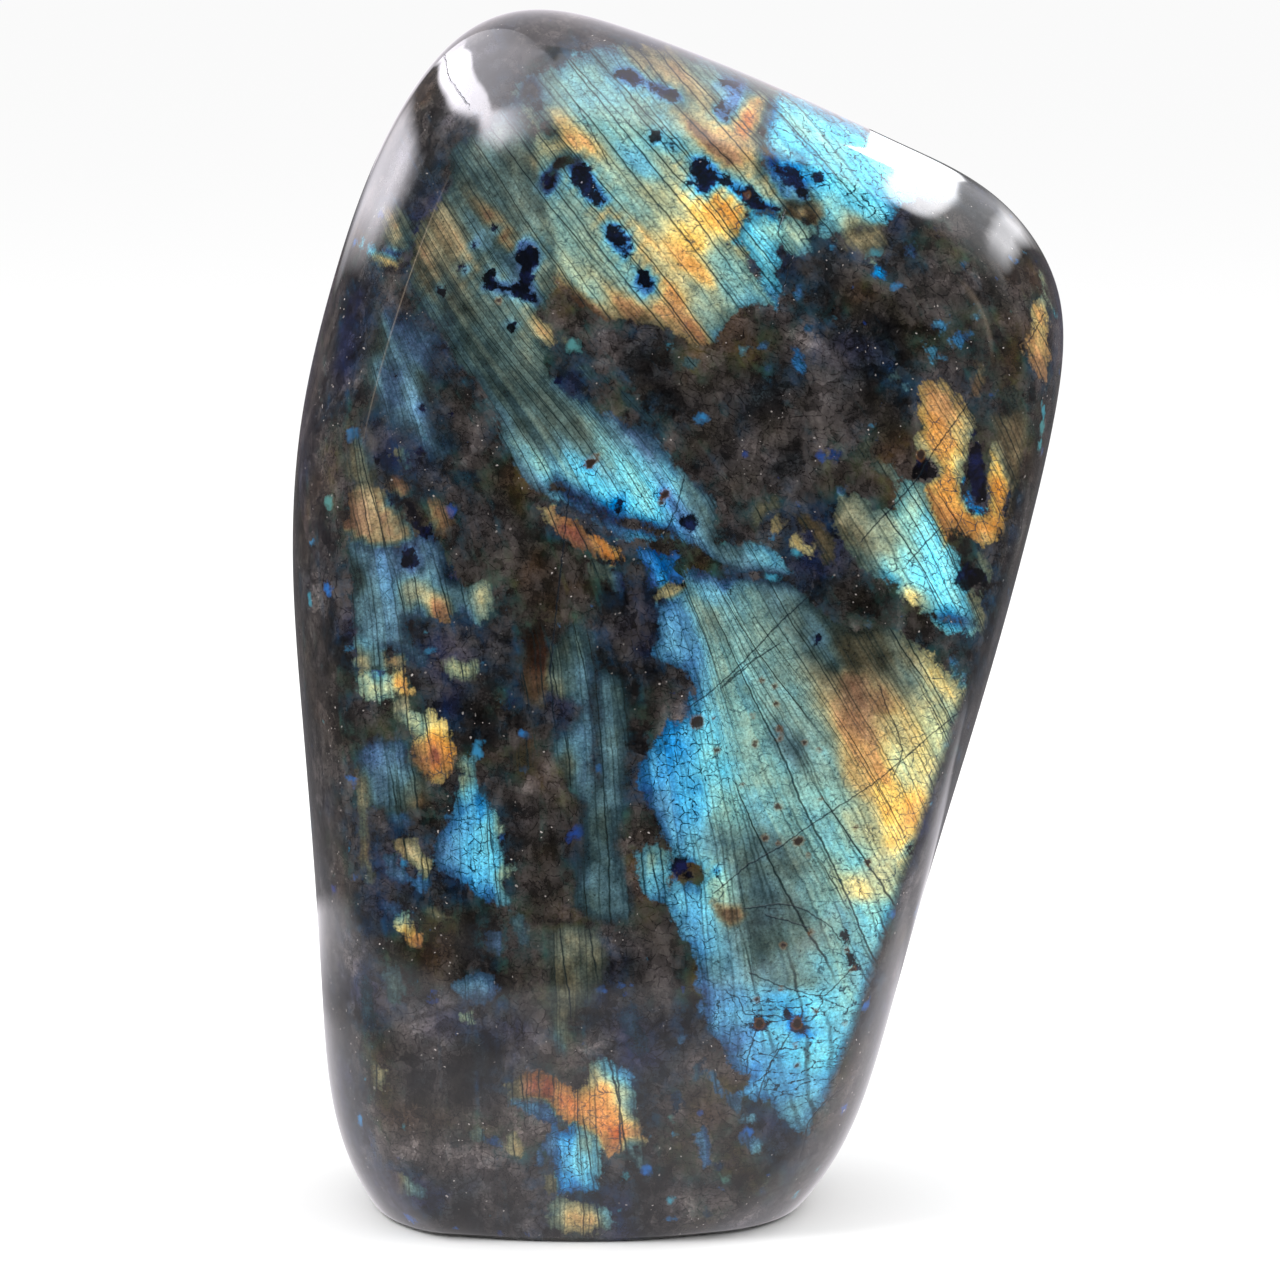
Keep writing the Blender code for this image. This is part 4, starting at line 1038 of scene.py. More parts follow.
for *place, width in (
    (-4.2, 226.4, 1.6), (9.3, 137, 1.8), (2, 150, 2.8), (-12, 153.5, 2.2), (8, 79, 0.9),
    (28.5, 218.3, 0.9), (16.5, 47.2, 2), (-58, 153.5, 1.6), (-57, 178.3, 1.9), (-18, 161.3, 1.2),
    (-3, 155.5, 1.2), (9, 236.4, 0.8), (11.5, 234.6, 0.8), (8.8, 232.5, 0.8), (7.6, 231.4, 0.6),
    (10.2, 236.8, 0.7), (11.9, 236.2, 0.7), (9.6, 230.6, 0.6), (5, 216.2, 1), (2.4, 217.2, 0.8),
    (-1.2, 224.6, 0.9), (-37, 208, 1.6), (-41, 205, 1.2), (-33.5, 189, 1.1), (-63.5, 166, 1.4),
    (-61.5, 162, 1), (-52.6, 163.4, 1.2), (47, 82, 0.7), (28, 126, 0.6), (-46, 171, 1.1),
    (0.5, 79.5, 2.4), (2.4, 78.6, 1.6), (-52, 172, 1.3), (-48, 196, 1.2), (-43, 200, 1), (-38, 199, 1.4),
    (-24, 178, 1),
):
    pit(place, width, halo=0.6)
# Dark veins.
for *path, width in (
    (19.5, 232.5, 17.2, 229, 16.8, 224, 17.5, 219, 0.4),
    (-26.4, 217.4, -24.8, 220.6, -22.8, 222.2, -20.6, 221.8, 1.1), (-30, 237, -33.5, 231.5, 1.6),
    (-30, 237, -27.5, 229, -26, 227, 1.2),
    (-25, 157, -20, 154.5, -17, 152, -12, 150, -6, 148.5, -2, 147.5, 1.3), (50, 130.5, 60, 128.6, 0.9),
    (4, 139.6, 14, 139, 24, 138.4, 1.2),
):
    vein(path, width)


def store(name, values):
    """Keeps one number for each vertex of the block, for its finish to read."""
    layer = mesh.attributes.new(name, "FLOAT", "POINT")
    layer.data.foreach_set("value", values.astype(np.float32))


store("course", course)
store("flash_depth", flash_depth)
store("flash_edge", flash_edge)
store("flash_order", flash_order)
store("flash_glow", np.maximum(flash_glow, 0.02))
store("inclusion", inclusion)

# The hairline fractures and the rust specks
# Natural breaks that run through the flash, thinner than a hair and dark, and grains of rust-stained
# mineral. Two sets of breaks cross each other, so each set is kept apart.

BREAK_REACH = 3.0   # how far round a break its distance is worked out
BREAK_INK = 1.5     # and how far the break is drawn
# Each set has its breaks on the show face, -1, and on the back, 1.
BREAKS = (
    {
        -1: (
            (2.5, 112.8, 6.5, 115.5, 10, 118.5, 14.5, 123, 21, 130, 26, 134.5),
            (8, 115.8, 12, 119, 16, 122.5, 20.5, 125.2),
            (7.5, 74.5, 14, 80, 20, 83.3, 26, 87.6, 34, 92.8, 40, 96.6, 46, 101.5, 52, 106.5, 56.5, 109.8),
            (58.5, 173.3, 54.6, 168, 51, 163, 48.2, 158.2, 43.5, 153, 39, 148.3, 37, 146),
            (53, 148.5, 46, 141), (1.2, 158.7, -0.6, 152, -3.3, 146.5),
            (33.3, 31.4, 29.8, 29, 27.9, 27, 26.3, 24.2, 26.3, 22.2, 25.6, 19.4, 25.1, 17.3, 25.2, 15),
            (74.5, 190, 71, 185), (-20, 232, -14, 221), (16, 46, 14.5, 41.5, 13.9, 37),
            (-49, 246, -47, 238, -43, 233), (-22, 157, -26, 120, -25, 108),
        ),
        1: (
            (-14, 118, -2, 112, 12, 104.6, 26, 96.6, 38, 91, 51, 84), (4, 100, 15, 95, 27, 90.4),
            (-50, 196, -38, 201, -26, 204.4, -12, 210), (-3, 196, 10, 200, 24, 207),
            (-69, 126, -60, 130, -50, 133.4), (46, 152, 56, 160, 66, 166),
        ),
    },
    {
        -1: (
            (13.7, 71, 19.7, 71.9, 24, 71.4, 26.5, 70.2, 31, 67, 33, 64),
            (14.8, 57.6, 19.6, 55.3, 25, 53.5, 27.2, 52.7, 30, 52.4, 32.7, 55, 35.5, 58),
            (10, 53.6, 12.4, 52.4, 13.6, 49, 16.4, 48.8, 20.3, 48.6, 22.2, 47.8),
            (25, 47.3, 27.3, 47.3, 30, 52), (22.5, 44.5, 21, 42, 19, 39, 18, 37, 16.6, 32, 16.8, 30.3),
            (40.7, 116.3, 42.1, 112, 44.2, 108, 45.6, 102.5, 43.5, 97), (18, 69.5, 22, 68.6, 26, 67),
            (21, 196, 23, 203, 20, 207, 21, 211),
        ),
        1: (
            (20, 60, 26, 58, 30, 61, 36, 57.6, 42, 58), (14, 86, 20, 88.4, 24, 86, 31, 87),
            (-24, 196, -28, 190, -26, 186, -30, 180), (18, 131, 14, 127, 16, 121, 12, 117),
            (-62, 96, -59, 101, -61, 108, -57, 113),
        ),
    },
)
for number, sides in enumerate(BREAKS):
    offset = np.full(len(x), BREAK_REACH)
    for side, paths in sides.items():
        for path in paths:
            near, _, signed = drawn(path, 0.0, side)
            closer = np.abs(signed) < np.abs(offset[near])
            offset[near] = np.where(closer, signed, offset[near])
    store(f"break_{number}", offset)
    store(f"break_{number}_ink", np.clip(BREAK_INK - np.abs(offset), 0, 1))

HALO = 1.3   # the stain is wider than its speck
rust = np.full(len(x), -REACH)
for side, specks in (
    (-1, (
        (3.8, 109.5, 2), (15, 110.5, 1), (17, 118, 0.8), (19.5, 116.5, 0.7), (19.7, 113, 0.9),
        (20.3, 108, 0.7), (20.5, 106, 0.7), (15.5, 105, 1), (28.5, 103.5, 0.9), (25.5, 105, 0.8),
        (20.3, 92, 1.1), (28.8, 93.5, 0.8), (17.5, 85.7, 0.9), (20.3, 84.5, 0.9), (24.5, 84.8, 1.5),
        (26.3, 81.8, 1), (36, 87.5, 0.8), (27, 66, 0.9), (21.5, 63.3, 0.8), (13, 96.5, 0.8),
        (7.8, 103.5, 0.6), (7.2, 110, 0.6), (28, 49.3, 0.8), (24, 42.2, 0.9), (24.4, 38, 0.9),
        (34, 45.5, 1), (16, 52, 0.6), (21, 54.3, 0.6), (38.5, 80, 0.9), (-18, 161.5, 1.5),
        (-16.4, 163, 0.9), (-2.5, 155.5, 1.5), (-3.6, 153.6, 0.8), (-36.5, 194, 0.7), (48.8, 163, 1.3),
        (13.6, 215, 0.9), (2.2, 202, 0.5), (16.5, 47.2, 1.3), (24.2, 47, 1.6), (34.4, 62, 0.9),
        (35.6, 57.6, 0.9),
    )),
    (1, (
        (20, 74, 0.9), (24, 86, 0.7), (30, 94, 1), (36, 98, 0.7), (26, 104, 0.8), (17, 96, 0.6),
        (13, 112, 0.9), (9, 140, 0.8), (-16, 174, 0.8), (-26, 195, 1), (-34, 208, 0.8), (-42, 218, 0.9),
        (10, 196, 0.8), (20, 180, 0.7), (-60, 138, 0.9), (-57, 120, 0.7), (56, 176, 0.8), (39, 72, 0.8),
    )),
):
    for *place, width in specks:
        near, depth, _ = drawn(place, HALO * width, side)
        rust[near] = np.maximum(rust[near], depth)
store("rust", rust)

# Its finish: labradorite feldspar, lapped and then buffed with oxide powder to a mirror polish.
# Under the polish the dark stone is smoky and flecked, and the flash shines in slats between
# the cleavage sheets, cut by dark parting lines and a web of hairline cracks.


def linear(colour):
    """An sRGB hex colour as linear red, green, blue and alpha."""
    parts = [int(colour[i : i + 2], 16) / 255 for i in (1, 3, 5)]
    return (*[p / 12.92 if p <= 0.04045 else ((p + 0.055) / 1.055) ** 2.4 for p in parts], 1.0)


def add(tree, kind, inputs=(), **settings):
    """Adds a node with its settings, and feeds its open sockets, by their order or by name.

    The setting "stops" fills a colour ramp with (position, sRGB hex colour), in rising order.
    """
    node = tree.nodes.new("ShaderNode" + kind)
    stops = settings.pop("stops", ())
    for name, value in settings.items():
        setattr(node, name, value)
    for number, (position, colour) in enumerate(stops):
        ramp = node.color_ramp.elements
        stop = ramp[number] if number < 2 else ramp.new(position)
        stop.position, stop.color = position, linear(colour)
    sockets = [socket for socket in node.inputs if socket.enabled]
    for key, value in inputs.items() if isinstance(inputs, dict) else enumerate(inputs):
        socket = sockets[key] if isinstance(key, int) else next(s for s in sockets if s.name == key)
        if isinstance(value, bpy.types.Node):
            value = next(s for s in value.outputs if s.enabled)
        if isinstance(value, bpy.types.NodeSocket):
            tree.links.new(value, socket)
        else:
            socket.default_value = value
    return node


FLASH_COLOURS = (
    (0.00, "#1c1a5a"), (0.12, "#2c5cac"), (0.25, "#4a96d2"), (0.38, "#76c6de"), (0.46, "#84b8b4"),
    (0.52, "#9abaa8"), (0.59, "#b4bc96"), (0.66, "#e2d092"), (0.70, "#e8c47c"), (0.74, "#e2ae6e"),
    (0.79, "#da9c5e"), (0.84, "#ca824c"), (0.89, "#b45e38"), (0.95, "#7c3420"), (1.00, "#3c193c"),
)
# From one feature of a pattern to the next, in millimetres.
SLAT_MM = 3.2        # the strong parting lines
LEANING_MM = 6.0     # the partings that run a little askew
FINE_MM = 1.2        # the faintest of them
SWAY_MM = 28.57      # the slow bends of the sheets
WOBBLE_MM = 2.5      # their small bends
STREAK_MM = 1.25     # streaks along the sheets
COMB_MM = 0.8333     # the finest teeth of a torn edge
TEAR_MM = 3.333      # its larger teeth
PATCHY_MM = 7.143    # changes of colour in a patch
CLOUD_MM = 4.348     # changes of light in it
CRACK_MM = 2.2       # the web of cracks
WARP_MM = 2.0        # kinks in the cracks
GAP_MM = 0.9091      # gaps in them
WANDER_MM = 1.25     # kinks in the drawn fractures
GRAIN_MM = 0.5263    # the stone's own grain
SMOKE_MM = 13.0      # smoky clouds of the dark stone
TINT_MM = 19.0       # its faint tints
VEIN_MM = 14.0       # its dark veins
BEND_MM = 11.11      # their bends
WISP_MM = 7.692      # its pale wisps
CRYSTAL_MM = 2.6     # its crystals
FAINT_MM = 2.381     # faint streaks of flash in it
STRAY_MM = 5.0       # stray blotches of flash in it
FLECK_MM = 0.75      # its silvery flecks
DRIFT_MM = 10.0      # drifts of them
SMEAR_MM = 11.11     # smears in the polish
RIPPLE_MM = 33.33    # its slow ripples
DENT_MM = 0.06       # how deep it is dented

polished = bpy.data.materials.new("polished_labradorite")
polished.use_nodes = True
tree = polished.node_tree
tree.nodes.clear()
place = add(tree, "TexCoord").outputs["Object"]
mm = add(tree, "VectorMath", {"Vector": place, "Scale": 1 / MM}, operation="SCALE").outputs["Vector"]
split = add(tree, "SeparateXYZ", (mm,))
read = {
    name: add(tree, "Attribute", attribute_name=name).outputs["Fac"]
    for name in ("course", "flash_depth", "flash_edge", "flash_order", "flash_glow", "inclusion",
                 "break_0", "break_0_ink", "break_1", "break_1_ink", "rust")
}

# Where along the cleavage a point lies: across the sheets, and far more slowly along them.
sway = add(tree, "TexNoise", {"Vector": mm, "Scale": 1 / SWAY_MM, "Detail": 2.0})
across = add(tree, "Math", (sway, 3.0, read["course"]), operation="MULTIPLY_ADD")
wobble = add(tree, "TexNoise", {"Vector": mm, "Scale": 1 / WOBBLE_MM, "Detail": 3.0})
across = add(tree, "Math", (wobble, 0.7, across), operation="MULTIPLY_ADD")
askew = add(tree, "Math", (split.outputs["Z"], 0.09, across), operation="MULTIPLY_ADD")
slow_z = add(tree, "Math", (split.outputs["Z"], 0.06), operation="MULTIPLY")
slow_y = add(tree, "Math", (split.outputs["Y"], 0.06), operation="MULTIPLY")
sheets = add(tree, "CombineXYZ", (across, slow_z, slow_y))

# The parting lines between the slats. Each comes and goes along its length.
partings = []
for start, spacing, stretch_mm, low, high, strength in (
    (across, SLAT_MM, 3.125, 0.38, 0.54, 0.95), (askew, LEANING_MM, 4.762, 0.43, 0.53, 1.0),
    (across, FINE_MM, 1.818, 0.40, 0.60, 0.62),
):
    gap = add(tree, "TexVoronoi", {"W": start, "Scale": 1 / spacing},
              voronoi_dimensions="1D", feature="DISTANCE_TO_EDGE")
    line = add(tree, "MapRange", (gap, 0.05 / spacing, 0.26 / spacing, strength, 0.0),
               interpolation_type="SMOOTHSTEP")
    present = add(tree, "TexNoise", {"Vector": sheets, "Scale": 1 / stretch_mm, "Detail": 2.0})
    present = add(tree, "MapRange", (present, low, high, 0.0, 1.0))
    partings.append(add(tree, "Math", (line, present), operation="MULTIPLY"))
parting = add(tree, "Math", (partings[0], partings[1]), operation="MAXIMUM")
parting = add(tree, "Math", (parting, partings[2]), operation="MAXIMUM")
slatted = add(tree, "MapRange", (read["flash_order"], 0.28, 0.42, 0.45, 1.0))
parting = add(tree, "Math", (parting, slatted), operation="MULTIPLY")
slat = add(tree, "TexVoronoi", {"W": across, "Scale": 1 / SLAT_MM}, voronoi_dimensions="1D")
slat_tint = add(tree, "SeparateColor", (slat.outputs["Color"],))

# The web of hairline cracks, closest where the flash is blue or bright.
flat = add(tree, "CombineXYZ", (across, split.outputs["Z"], 0.0))
warp = add(tree, "TexNoise", {"Vector": mm, "Scale": 1 / WARP_MM, "Detail": 3.0}).outputs["Color"]
warp = add(tree, "VectorMath", {"Vector": warp, "Scale": 1.6}, operation="SCALE")
bent = add(tree, "VectorMath", (flat, warp), operation="ADD")
crackled = add(tree, "MapRange", (read["flash_order"], 0.30, 0.46, 0.14, 0.0))
webs = []
for spacing, field_mm, low, high, strength, lift in (
    (CRACK_MM, 4.545, 0.38, 0.49, 1.0, 1.0), (0.5 * CRACK_MM, 3.333, 0.48, 0.60, 0.8, 0.0),
):
    web = add(tree, "TexVoronoi", {"Vector": bent, "Scale": 1 / spacing},
              voronoi_dimensions="2D", feature="DISTANCE_TO_EDGE")
    web = add(tree, "MapRange", (web, 0.03 / spacing, 0.17 / spacing, strength, 0.0),
              interpolation_type="SMOOTHSTEP")
    present = add(tree, "TexNoise", {"Vector": mm, "Scale": 1 / field_mm, "Detail": 3.0})
    present = add(tree, "Math", (crackled, lift, present), operation="MULTIPLY_ADD")
    present = add(tree, "MapRange", (present, low, high, 0.0, 1.0))
    webs.append(add(tree, "Math", (web, present), operation="MULTIPLY"))
web = add(tree, "Math", (webs[0], webs[1]), operation="MAXIMUM")
broken = add(tree, "TexNoise", {"Vector": mm, "Scale": 1 / GAP_MM, "Detail": 1.0})
broken = add(tree, "MapRange", (broken, 0.42, 0.54, 0.25, 1.0))
web = add(tree, "Math", (web, broken), operation="MULTIPLY")
dark_web = add(tree, "Math", (web, 0.7), operation="MULTIPLY")
bright = add(tree, "MapRange", (read["flash_glow"], 0.5, 1.0, 0.10, 0.85))
bright = add(tree, "Math", (crackled, 3.0, bright), operation="MULTIPLY_ADD")
web = add(tree, "Math", (web, bright), operation="MULTIPLY")

# The drawn fractures.
wander = add(tree, "TexNoise", {"Vector": mm, "Scale": 1 / WANDER_MM, "Detail": 2.0})
wander = add(tree, "Math", (wander, 0.5), operation="SUBTRACT")
lines = []
for number in (0, 1):
    offset = add(tree, "Math", (wander, 0.8, read[f"break_{number}"]), operation="MULTIPLY_ADD")
    offset = add(tree, "Math", (offset,), operation="ABSOLUTE")
    line = add(tree, "MapRange", (offset, 0.05, 0.24, 1.0, 0.0), interpolation_type="SMOOTHSTEP")
    lines.append(add(tree, "Math", (line, read[f"break_{number}_ink"]), operation="MULTIPLY"))
breaks = add(tree, "Math", (lines[0], lines[1]), operation="MAXIMUM")

# The patches' torn edges, and the dark fringe just inside them.
tear = add(tree, "TexNoise", {"Vector": mm, "Scale": 1 / TEAR_MM, "Detail": 5.0, "Roughness": 0.68})
tear = add(tree, "Math", (tear, 0.5), operation="SUBTRACT")
comb = add(tree, "TexNoise", {"Vector": sheets, "Scale": 1 / COMB_MM, "Detail": 2.0})
comb = add(tree, "Math", (comb, 0.5), operation="SUBTRACT")
ragged = add(tree, "MapRange", (read["flash_edge"], 0.4, 2.0, 7.0, 1.2))
depth = add(tree, "Math", (tear, ragged, read["flash_depth"]), operation="MULTIPLY_ADD")
depth = add(tree, "Math", (comb, 1.8, depth), operation="MULTIPLY_ADD")
outer = add(tree, "Math", (read["flash_edge"], -1.0), operation="MULTIPLY")
cover = add(tree, "MapRange", (depth, outer, read["flash_edge"], 0.0, 1.0),
            interpolation_type="SMOOTHSTEP")
fringe = add(tree, "MapRange", (depth, 0.0, 3.2, 1.0, 0.0), interpolation_type="SMOOTHSTEP")

# The flash's colour and light.
streak = add(tree, "TexNoise", {"Vector": sheets, "Scale": 1 / STREAK_MM, "Detail": 3.0})
patchy = add(tree, "TexNoise", {"Vector": mm, "Scale": 1 / PATCHY_MM, "Detail": 3.0,
                                "Roughness": 0.62})
cloudy = add(tree, "TexNoise", {"Vector": mm, "Scale": 1 / CLOUD_MM, "Detail": 4.0, "Roughness": 0.66})
cloudy = add(tree, "Math", (cloudy, 0.5), operation="SUBTRACT")
order = add(tree, "Math", (streak, 0.10, read["flash_order"]), operation="MULTIPLY_ADD")
order = add(tree, "Math", (patchy, 0.20, order), operation="MULTIPLY_ADD")
order = add(tree, "Math", (slat_tint, 0.05, order), operation="MULTIPLY_ADD")
order = add(tree, "Math", (order, 0.175), operation="SUBTRACT")
order = add(tree, "Math", (fringe, -0.06, order), operation="MULTIPLY_ADD")
colours = add(tree, "ValToRGB", (order,), stops=FLASH_COLOURS)
rich = add(tree, "MapRange", (read["flash_glow"], 0.55, 1.05, 0.78, 1.12))
colours = add(tree, "HueSaturation", {"Saturation": rich.outputs[0], "Color": colours.outputs[0]})
mottling = add(tree, "MapRange", (read["flash_glow"], 0.3, 0.95, 1.7, 0.5))
light = add(tree, "Math", (cloudy, mottling, 1.0), operation="MULTIPLY_ADD")
light = add(tree, "Math", (light, read["flash_glow"]), operation="MULTIPLY")
grain = add(tree, "TexNoise", {"Vector": mm, "Scale": 1 / GRAIN_MM, "Detail": 2.0, "Roughness": 0.7})
for texture, low, high in ((grain, 0.78, 1.22), (streak, 0.90, 1.10)):
    share = add(tree, "MapRange", (texture, 0.25, 0.75, low, high))
    light = add(tree, "Math", (light, share), operation="MULTIPLY")
slat_light = add(tree, "Math", (slat_tint.outputs["Green"], 0.5), operation="SUBTRACT")
slat_light = add(tree, "Math", (slat_light, mottling), operation="MULTIPLY")
slat_light = add(tree, "Math", (slat_light, 0.24, 1.0), operation="MULTIPLY_ADD")
light = add(tree, "Math", (light, slat_light), operation="MULTIPLY")
shadow = add(tree, "Math", (fringe, -0.32, 1.0), operation="MULTIPLY_ADD")
light = add(tree, "Math", (light, shadow), operation="MULTIPLY")
light = add(tree, "Math", (light, 2.2), operation="POWER")
lit = add(tree, "VectorMath", {"Vector": colours, "Scale": light.outputs[0]}, operation="SCALE")
parting = add(tree, "Math", (parting, 0.92), operation="MULTIPLY")
lit = add(tree, "Mix", (parting, lit, linear("#141e1e")), data_type="RGBA")
lit = add(tree, "Mix", (web, lit, linear("#10303f")), data_type="RGBA")
specks = add(tree, "MapRange", (grain, 0.27, 0.36, 0.75, 0.0))
lit = add(tree, "Mix", (specks, lit, linear("#1c2420")), data_type="RGBA")

# The dark stone: nearly black, with smoky clouds, faint tints and darker veins.
smoke = add(tree, "TexNoise", {"Vector": mm, "Scale": 1 / SMOKE_MM, "Detail": 6.0,
                               "Roughness": 0.60})
body = add(tree, "ValToRGB", (smoke,), stops=(
    (0.30, "#0b0a0b"), (0.44, "#171515"), (0.54, "#282525"), (0.62, "#3b3636"), (0.70, "#5a5352"),
))
hue = add(tree, "TexNoise", {"Vector": mm, "Scale": 1 / TINT_MM, "Detail": 3.0})
hues = add(tree, "ValToRGB", (hue,), stops=(
    (0.32, "#18264a"), (0.42, "#1a2a30"), (0.48, "#1a1a1a"), (0.58, "#2a2618"), (0.68, "#46321c"),
))
body = add(tree, "Mix", (0.24, body, hues), data_type="RGBA")
bend = add(tree, "TexNoise", {"Vector": mm, "Scale": 1 / BEND_MM, "Detail": 3.0}).outputs["Color"]
bend = add(tree, "VectorMath", {"Vector": bend, "Scale": 22.0}, operation="SCALE")
seam = add(tree, "VectorMath", (bend, mm), operation="ADD")
seam = add(tree, "TexVoronoi", {"Vector": seam, "Scale": 1 / VEIN_MM}, feature="DISTANCE_TO_EDGE")
seam_core = add(tree, "MapRange", (seam, 0.003, 0.018, 0.85, 0.0), interpolation_type="SMOOTHSTEP")
seam = add(tree, "MapRange", (seam, 0.0, 0.13, 0.55, 0.0), interpolation_type="SMOOTHSTEP")
seam = add(tree, "Math", (seam, seam_core), operation="MAXIMUM")
seam_present = add(tree, "MapRange", (hue, 0.42, 0.60, 1.0, 0.25))
seam = add(tree, "Math", (seam, seam_present), operation="MULTIPLY")
body = add(tree, "Mix", (seam, body, linear("#0a090a")), data_type="RGBA")
marbling = add(tree, "MapRange", (grain, 0.25, 0.75, 0.48, 1.62))
body = add(tree, "VectorMath", {"Vector": body, "Scale": marbling.outputs[0]}, operation="SCALE")
# The dark stone is made lighter towards the crown and the foot, by height alone.
from_middle = add(tree, "Math", (split.outputs["Z"], 100.0), operation="SUBTRACT")
from_middle = add(tree, "Math", (from_middle,), operation="ABSOLUTE")
lighter_at_ends = add(tree, "MapRange", (from_middle, 35.0, 75.0, 1.0, 1.32))
body = add(tree, "VectorMath", {"Vector": body, "Scale": lighter_at_ends.outputs[0]}, operation="SCALE")

# Pale wisps hang in the dark stone, where feldspar without any colour has grown.
wisp = add(tree, "VectorMath", {"Vector": bend, "Scale": 0.4}, operation="SCALE")
wisp = add(tree, "VectorMath", (wisp, mm), operation="ADD")
wisp = add(tree, "VectorMath", (wisp, (1.0, 1.0, 0.4)), operation="MULTIPLY")
wisp = add(tree, "TexNoise", {"Vector": wisp, "Scale": 1 / WISP_MM, "Detail": 6.0, "Roughness": 0.66})
wisp = add(tree, "MapRange", (wisp, 0.50, 0.76, 0.0, 0.34))
body = add(tree, "Mix", (wisp, body, linear("#756d6b")), data_type="RGBA")
crystal = add(tree, "VectorMath", {"Vector": warp, "Scale": 2.0}, operation="SCALE")
crystal = add(tree, "VectorMath", (crystal, mm), operation="ADD")
crystal = add(tree, "TexVoronoi", {"Vector": crystal, "Scale": 1 / CRYSTAL_MM})
crystal = add(tree, "SeparateColor", (crystal.outputs["Color"],))
crystal = add(tree, "MapRange", (crystal, 0.0, 1.0, 0.55, 1.50))
body = add(tree, "VectorMath", {"Vector": body, "Scale": crystal.outputs[0]}, operation="SCALE")
body = add(tree, "Mix", (dark_web, body, linear("#060506")), data_type="RGBA")

# Faint flash in the dark stone: round the patches, along the sheets, and in stray blotches.
halo = add(tree, "MapRange", (depth, -5.0, 0.0, 0.0, 1.0))
streaks = add(tree, "TexNoise", {"Vector": sheets, "Scale": 1 / FAINT_MM, "Detail": 3.0})
streaks = add(tree, "MapRange", (streaks, 0.54, 0.74, 0.0, 0.4))
halo = add(tree, "Math", (halo, 0.4, streaks), operation="MULTIPLY_ADD")
halo_cloud = add(tree, "MapRange", (cloudy, -0.06, 0.18, 0.0, 1.0))
halo = add(tree, "Math", (halo, halo_cloud), operation="MULTIPLY")
faint_order = add(tree, "MapRange", (hue, 0.3, 0.7, 0.05, 0.80))
faint = add(tree, "ValToRGB", (faint_order,), stops=(
    (0.0, "#161f4c"), (0.3, "#1e4a6c"), (0.5, "#2c5854"), (0.68, "#56562e"), (0.85, "#6e4a24"),
))
body = add(tree, "Mix", (halo, body, faint), data_type="RGBA")
stray = add(tree, "TexVoronoi", {"Vector": add(tree, "VectorMath", (mm, warp), operation="ADD"),
                                 "Scale": 1 / STRAY_MM})
stray_pick = add(tree, "SeparateColor", (stray.outputs["Color"],))
stray_size = add(tree, "MapRange", (stray_pick, 0.82, 1.0, 0.0, 0.42))
stray = add(tree, "Math", (stray_size, stray.outputs["Distance"]), operation="SUBTRACT")
stray = add(tree, "Math", (tear, 1.1, stray), operation="MULTIPLY_ADD")
stray = add(tree, "MapRange", (stray, -0.02, 0.20, 0.0, 0.8))
stray_colour = add(tree, "ValToRGB", (stray_pick.outputs["Green"],), stops=(
    (0.0, "#18246e"), (0.5, "#2262a8"), (0.8, "#3c8ca0"), (1.0, "#4e7a6e"),
))
body = add(tree, "Mix", (stray, body, stray_colour), data_type="RGBA")

# Silvery flecks: cleavage faces of single grains, near the surface.
fleck = add(tree, "VectorMath", (mm, warp), operation="ADD")
fleck = add(tree, "TexVoronoi", {"Vector": fleck, "Scale": 1 / FLECK_MM})
fleck_size = add(tree, "SeparateColor", (fleck.outputs["Color"],))
fleck_size = add(tree, "MapRange", (fleck_size, 0.88, 1.0, 0.0, 0.33))
fleck = add(tree, "Math", (fleck_size, fleck.outputs["Distance"]), operation="SUBTRACT")
fleck = add(tree, "MapRange", (fleck, 0.0, 0.05, 0.0, 0.85))
fleck_present = add(tree, "TexNoise", {"Vector": mm, "Scale": 1 / DRIFT_MM, "Detail": 3.0})
fleck_present = add(tree, "MapRange", (fleck_present, 0.46, 0.62, 0.0, 1.0))
fleck = add(tree, "Math", (fleck, fleck_present), operation="MULTIPLY")
body = add(tree, "Mix", (fleck, body, linear("#b4aca8")), data_type="RGBA")

colour = add(tree, "Mix", (cover, body, lit), data_type="RGBA")

# The inclusions are black, with navy hollows.
hollow = add(tree, "Math", (tear, 7.5, read["inclusion"]), operation="MULTIPLY_ADD")
hollow = add(tree, "MapRange", (hollow, -0.50, 0.20, 0.0, 0.97), interpolation_type="SMOOTHSTEP")
navy = add(tree, "MapRange", (cloudy, -0.02, 0.16, 0.0, 1.0))
navy = add(tree, "Mix", (navy, linear("#07070a"), linear("#12183a")), data_type="RGBA")
navy = add(tree, "Mix", (fleck, navy, linear("#8f8c94")), data_type="RGBA")
colour = add(tree, "Mix", (hollow, colour, navy), data_type="RGBA")
colour = add(tree, "Mix", (add(tree, "Math", (breaks, 0.8), operation="MULTIPLY"), colour,
                           linear("#101a22")), data_type="RGBA")
spot = add(tree, "Math", (tear, 2.2, read["rust"]), operation="MULTIPLY_ADD")
stain = add(tree, "MapRange", (spot, -0.45, 0.1, 0.0, 0.45))
core = add(tree, "MapRange", (spot, -0.05, 0.25, 0.0, 0.92))
colour = add(tree, "Mix", (stain, colour, linear("#7c5226")), data_type="RGBA")
colour = add(tree, "Mix", (core, colour, linear("#20140f")), data_type="RGBA")

